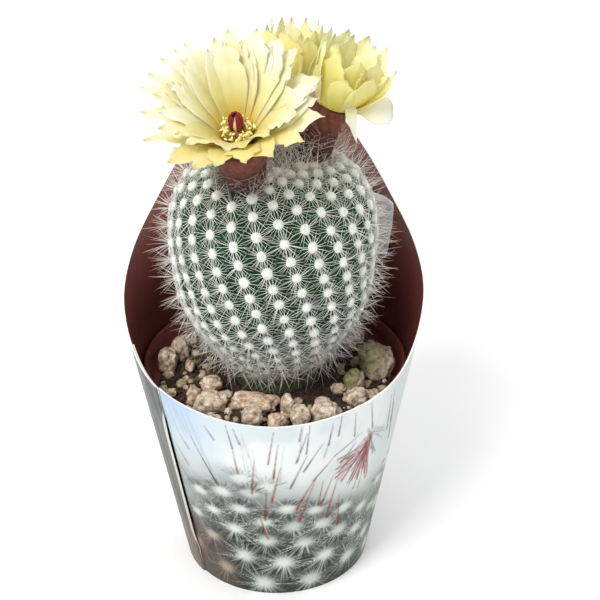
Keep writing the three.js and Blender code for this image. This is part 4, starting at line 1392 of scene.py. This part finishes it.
def make_stigma(size, finish):
    """Style, cream heart, and long lobes closed over it like a bud, parted at the gap's turn."""
    style = lathe([(0.5, 0.3), (0.5, 2.0), (0.55, 3.4), (0.9, 3.9)], 16, finish)
    heart_dirs, (quads, tris) = ball(16, 10)
    heart = heart_dirs * [1.14 * size, 1.14 * size, 1.9 * size] + [0, 0, 5.2]
    parts = [
        {**style, "values": {"tone": np.full(len(style["points"]), 0.85)}},
        part(heart, [(quads, finish, True), (tris, finish, True)], finish, tone=np.ones(len(heart))),
    ]
    turns = STIGMA_GAP + np.linspace(44, 316, STIGMA_LOBES)
    q = np.linspace(-1, 1, 9)[None]
    a = np.radians(turns)[:, None]
    r = size * (1.22 * np.sqrt(np.clip(1 - (0.86 * q) ** 2, 0, 1)) - 0.12 * ease(0.3, 1, q))
    z = 5.9 + 2.5 * size * q + 0 * a
    paths = np.stack([r * np.cos(a + 0.12 * q), r * np.sin(a + 0.12 * q), z], -1)
    radii = size * (0.56 * np.sqrt(np.clip(1 - (0.95 * q) ** 2, 0.02, 1))) * np.ones_like(a)
    parts.append(threads(paths, radii, 8, finish, tone=np.zeros(len(turns))))
    return parts


SCALE_PITCH = 2.3
SCALES = 11
TUBE_HAIRS = 260


def make_tube(name, throat, rows, length, base, waist, top, seed):
    """Scaly tube along the flower's axis, with hairs between its scales.

    Its radius runs from base through waist to top. A scale is a raised cosine round the tube that
    falls off evenly along it, and every second ring of scales is shifted by half a scale.
    """
    finish = tube_finish()
    nu, nv = 96, 60
    turn = (np.arange(nu) * 2 * np.pi / nu)[:, None]
    z = np.linspace(-length, 0, nv)[None]
    level = [-length, -0.62 * length, -0.35 * length, -1.5, 0]
    wide = [base, base + 0.1, waist, top, top - 0.5]
    smooth = np.pad(np.interp(z, level, wide)[0], 3, mode="edge")
    radius = np.convolve(smooth, np.ones(7) / 7, "valid")[None]
    ring = z / SCALE_PITCH
    lobes = 0.5 + 0.5 * np.cos(turn * SCALES + np.floor(ring) * np.pi)
    grain = np.stack([np.cos(turn) * 3 + 0 * z, np.sin(turn) * 3 + 0 * z, z + 0 * turn], -1)
    r = radius + 0.42 * lobes * (1 - ring % 1) - 0.2 + 0.25 * noise(grain / 1.2, seed)
    points = np.stack([r * np.cos(turn), r * np.sin(turn), z + 0 * turn], -1).reshape(-1, 3)
    faces = [(grid(nu, nv, True), finish, True), (caps(nu, nv), finish, True)]
    brown = np.append(np.broadcast_to(ease(-0.55 * length, -0.5, z), (nu, nv)).ravel(), [0, 1])
    body = part(np.concatenate([points, [[0, 0, -length], [0, 0, 0]]]), faces, finish, top=brown)

    hair = spine_finish(name + " hair", rgb(222, 200, 190), rgb(150, 112, 100), rgb(206, 176, 164))
    source = np.random.default_rng(seed)
    n = TUBE_HAIRS
    at = source.uniform(0, 2 * np.pi, n)[:, None]
    start = (-length * source.uniform(0.25, 0.98, n) ** 0.8)[:, None]
    q = np.linspace(0, 1, 6)[None]
    long = source.uniform(2.5, 7.0, n)[:, None]
    out = np.interp(start, level, wide) + long * (0.55 * q + 0.1 * q**2)
    swing = at + source.normal(size=(n, 1)) * 0.35 * q + 0.08 * np.sin(q * 8 + at)
    rise = start + long * (0.75 * q - 0.2 * q**2) + source.normal(size=(n, 1)) * q
    paths = np.stack([out * np.cos(swing), out * np.sin(swing), rise], -1)
    radii = 0.055 * (1 - 0.6 * q) * np.ones((n, 1))
    hairs = threads(paths, radii, 3, hair, tone=source.uniform(0, 1, n))
    put(name + "_scaly_tube", placed([body, hairs], throat, rows), "flower_tube", name + "_tube")


# Rows of petals: turn about the axis, reach from it, rise along it and share of the full width.
FRONT_OUTER = [
    (90, 15.2, 18.3, 1.0), (69, 16.1, 18.1, 1.0), (107, 16.4, 15.6, 0.85), (125, 16.3, 17.4, 0.85),
    (135, 17.4, 16.8, 0.85), (145, 18.4, 15.7, 0.85), (156, 19.4, 14.5, 0.9), (165, 20.3, 13.4, 0.8),
    (178, 20.0, 9.9, 0.75), (-166, 20.0, 7.4, 1.0), (-137, 18.8, 8.2, 0.9), (-118, 17.9, 9.5, 1.0),
    (-99, 17.0, 10.6, 1.0), (-80, 17.0, 11.4, 1.05), (-60, 17.6, 11.1, 1.0), (-36, 18.2, 9.9, 0.85),
    (-10, 19.6, 10.2, 1.1), (22, 20.1, 10.7, 1.2), (40, 19.0, 14.9, 1.2), (52, 17.6, 16.2, 1.2),
    (9, 18.2, 11.6, 1.25), (0, 18.0, 10.7, 1.3),
]
FRONT_INNER = [
    (-160, 16.5, 11.3, 1.07), (-146, 14.3, 11.9, 0.96), (-133, 14.5, 11.6, 0.88), (-104, 12.1, 10.1, 1.0),
    (-77, 11.8, 10.2, 0.99), (-50, 11.9, 10.8, 0.91), (-23, 14.4, 12.2, 0.98), (7, 16.9, 12.4, 0.92),
    (32, 15.9, 13.7, 1.02), (44, 14.7, 14.8, 0.87), (57, 15.1, 15.2, 1.0), (68, 13.1, 16.0, 0.85),
    (78, 13.8, 16.7, 1.01), (89, 12.0, 17.4, 0.98), (100, 12.8, 17.1, 1.17), (113, 12.6, 16.8, 0.88),
    (126, 14.8, 15.9, 1.11), (138, 14.3, 15.6, 0.89), (149, 15.7, 14.4, 1.0), (161, 14.7, 13.5, 0.9),
    (173, 17.0, 12.6, 0.97), (-174, 15.5, 12.1, 0.9),
]
RIGHT_OUTER = [
    (-5, 10.4, 13.2, 1.3), (-48, 8.6, 12.0, 1.15), (-88, 8.2, 9.2, 0.85), (-126, 7.0, 14.2, 1.2),
    (-165, 7.2, 14.6, 1.15), (155, 7.2, 16.4, 1.1), (112, 7.0, 16.6, 1.15), (70, 7.4, 16.6, 1.15),
    (30, 8.6, 16.4, 1.25),
]
RIGHT_INNER = [
    (-28, 6.6, 14.6, 1.2), (42, 6.0, 15.8, 1.2), (100, 5.6, 16.0, 1.2), (158, 5.6, 15.4, 1.2),
    (-142, 5.4, 14.8, 1.2), (-78, 5.8, 13.4, 1.2),
]
BACK_OUTER = [
    (-172, 9.2, 14.4, 1.0), (-138, 8.6, 15.0, 1.1), (-104, 8.6, 14.2, 1.1), (-72, 8.8, 14.0, 1.15),
    (-36, 8.2, 14.8, 1.05), (-4, 8.2, 15.2, 1.0), (36, 7.4, 15.6, 1.0), (76, 7.2, 15.8, 1.05),
    (112, 7.2, 15.8, 1.0), (150, 7.8, 15.2, 1.0),
]
BACK_INNER = [
    (-155, 6.0, 16.0, 1.0), (-118, 6.4, 15.0, 1.0), (-82, 6.8, 14.4, 1.0), (-46, 6.4, 15.2, 1.0),
    (-8, 6.0, 16.2, 1.0), (26, 5.6, 17.0, 1.0), (62, 5.2, 17.2, 1.0), (98, 5.0, 17.2, 1.0),
    (134, 5.4, 17.0, 1.0), (172, 5.8, 16.6, 1.0),
]


FLOWERS = {
    "front_flower": {
        "throat": (-6.7, -14, 117.8), "faces": (-10, 65), "outer": FRONT_OUTER, "inner": FRONT_INNER,
        "widths": (7.4, 6.6), "knee": (0.34, 0.8), "tube": (19, 4.6, 5.3, 6.4),
        "stamens": 96, "threads": (2.7, 4.9), "stigma": 1.0,
    },
    "right_flower": {
        "throat": (13.5, 3, 118.9), "faces": (98, 68), "outer": RIGHT_OUTER, "inner": RIGHT_INNER,
        "widths": (7.6, 6.6), "knee": (0.98, 0.42), "tube": (18, 4.4, 4.0, 4.3),
        "stamens": 60, "threads": (3.0, 5.5), "stigma": 0.86,
    },
    "back_flower": {
        "throat": (4.8, 15, 117.6), "faces": (165, 76), "outer": BACK_OUTER, "inner": BACK_INNER,
        "widths": (7.0, 6.4), "knee": (1.05, 0.45), "tube": (16, 4.2, 3.9, 4.2),
        "stamens": 60, "threads": (3.0, 6.0), "stigma": 0.86,
    },
}
PETAL_ROOTS = (3.4, 2.7)
STAMEN_RING = (1.1, 2.0)


def make_flowers():
    """The open front flower and the two cupped ones behind it, each with its five pieces."""
    pale, edge = rgb(250, 246, 184), rgb(249, 249, 238)
    # the last colour of each petal finish is the painted shade of the petals turned to the front
    opened = petal_finish("open petals", rgb(253, 232, 108), pale, edge, rgb(234, 216, 84))
    pale, edge = rgb(252, 246, 160), rgb(253, 252, 228)
    cupped = petal_finish("cup petals", rgb(248, 234, 112), pale, edge, rgb(234, 224, 96))
    gold, wine = stamen_finish(), stigma_finish()
    for k, (name, plan) in enumerate(FLOWERS.items()):
        rows, throat = flower_frame(*plan["faces"]), np.array(plan["throat"], float)
        blade = opened if name == "front_flower" else cupped
        make_tube(name, throat, rows, *plan["tube"], seed=20 + k)
        whorls = zip(("outer", "inner"), PETAL_ROOTS, plan["widths"], (100 + k, 200 + k))
        for whorl, root, width, seed in whorls:
            blades = petals(plan[whorl], root, *plan["knee"], width, blade, seed)
            put(f"{name}_{whorl}_blades", placed(blades, throat, rows), "petals", f"{name}_{whorl}_petals")
        anthers = make_stamens(plan["stamens"], STAMEN_RING, plan["threads"], gold, 300 + k)
        put(name + "_anthers", placed(anthers, throat, rows), "stamens", name + "_stamens")
        style = make_stigma(plan["stigma"], wine)
        put(name + "_style", placed(style, throat, rows), "stigma", name + "_stigma")


# Loose petals: root, tip, direction across, width, sag, and how blunt the tip is.
LOOSE_PETALS = {
    "right_flower_spread_petal": ((19.4, 1.6, 118.6), (27.4, 2.4, 118.0), (0, 0.55, 0.83), 6.6, 0.9, 0.62),
    "right_flower_hanging_petal": ((17.6, -1.2, 120.6), (19.1, -2.8, 112.6), (1, 0, 0), 2.6, 0.4, 0.0),
}


def make_loose_petals():
    """Two petals bent away from the right flower's cup: thin sheets that sag between root and tip.

    The blunt one is widest at its middle and closes as a power of 1 - x^p. The pointed one
    closes as 1 - t^1.3.
    """
    tints = rgb(250, 246, 196), rgb(253, 252, 232), rgb(254, 254, 246), rgb(244, 242, 214)
    blade = petal_finish("loose petals", *tints)
    nu, nv = 15, 24
    t = np.linspace(0, 1, nv)[None]
    u = np.linspace(-1, 1, nu)[:, None]
    uv = np.stack([u * 0.5 + 0.5 + 0 * t, t + 0 * u], -1)
    for name, (root, tip, side, width, sag, blunt) in LOOSE_PETALS.items():
        root, tip, side = np.array(root), np.array(tip), unit(np.array(side, float))
        ahead = unit(tip - root)
        side = unit(side - ahead * (side @ ahead))
        if blunt:
            x = np.clip((t - 0.45) / 0.55, 0, 1)
            round_tip = np.clip(1 - x ** (2.6 / blunt), 0.03, 1) ** (0.5 * blunt)
            half = 0.5 * width * (0.3 + 0.7 * ease(0, 0.5, t)) * round_tip
        else:
            half = 0.5 * width * np.clip(1 - t**1.3, 0.04, 1) * (0.85 + 0.3 * ease(0, 0.3, t))
        bow = sag * np.sin(np.pi * t) - 0.16 * u**2 * half
        points = root + (t * np.linalg.norm(tip - root))[..., None] * ahead + (u * half)[..., None] * side
        points = points - bow[..., None] * np.cross(side, ahead)
        under = points - facing(points) * 0.25
        sheet = shell(points, under, blade, uv=uv, tone=np.zeros((nu, nv)))
        put(name + "_blade", [sheet], "petals", name)


# ---- Stage, light and camera ----


# Soft lamps: place and aim in metres, side in metres and power in watts.
LAMPS = {
    "key": ((-0.35, -0.45, 0.75), (0, 0, 0.08), 0.4, 6.0),
    "back": ((0.5, 0.5, 0.6), (0, 0, 0.1), 0.5, 2.2),
}
SKY_STRENGTH = 0.8


def make_stage():
    """Pale floor, a bright even sky, and two wide soft lamps."""
    bpy.ops.mesh.primitive_plane_add(size=6, location=(0, 0, 0))
    floor = bpy.context.object
    floor.name = "floor"
    floor.data.materials.append(floor_finish())
    world = bpy.data.worlds.new("sky")
    world.use_nodes = True
    sky = world.node_tree.nodes["Background"]
    sky.inputs[0].default_value = (1.0, 1.0, 1.0, 1)
    sky.inputs[1].default_value = SKY_STRENGTH
    bpy.context.scene.world = world
    for name, (place, aim, size, power) in LAMPS.items():
        light = bpy.data.lights.new(name, "AREA")
        light.size, light.energy = size, power
        lamp = bpy.data.objects.new(name, light)
        lamp.location = place
        lamp.rotation_euler = (Vector(aim) - Vector(place)).to_track_quat("-Z", "Y").to_euler()
        bpy.context.scene.collection.objects.link(lamp)


CAMERA_AIM = (0.0062, 0, 0.0708)
CAMERA_DISTANCE = 0.34
CAMERA_ELEVATION = 28.9
CAMERA_ROLL = -0.42
CAMERA_LENS = 84.95


def make_camera():
    """Camera looking down at the object's middle, turned a little about its own axis."""
    e, roll = math.radians(CAMERA_ELEVATION), math.radians(CAMERA_ROLL)
    back = Vector((0, -math.cos(e), math.sin(e)))
    right, up = Vector((1, 0, 0)), Vector((0, math.sin(e), math.cos(e)))
    across = math.cos(roll) * right + math.sin(roll) * up
    rise = -math.sin(roll) * right + math.cos(roll) * up
    lens = bpy.data.cameras.new("camera")
    lens.lens, lens.sensor_width, lens.clip_start = CAMERA_LENS, 36, 0.01
    camera = bpy.data.objects.new("camera", lens)
    place = Matrix((across, rise, back)).transposed().to_4x4()
    place.translation = Vector(CAMERA_AIM) + back * CAMERA_DISTANCE
    camera.matrix_world = place
    bpy.context.scene.collection.objects.link(camera)
    bpy.context.scene.camera = camera
    bpy.context.scene.view_settings.view_transform = "Standard"


make_sleeve()
make_label()
make_pot()
make_soil()
make_stones()
make_stem()
AREOLES = areoles()
make_pads(AREOLES)
make_spines(AREOLES)
make_crown_wool()
make_flowers()
make_loose_petals()
make_stage()
make_camera()
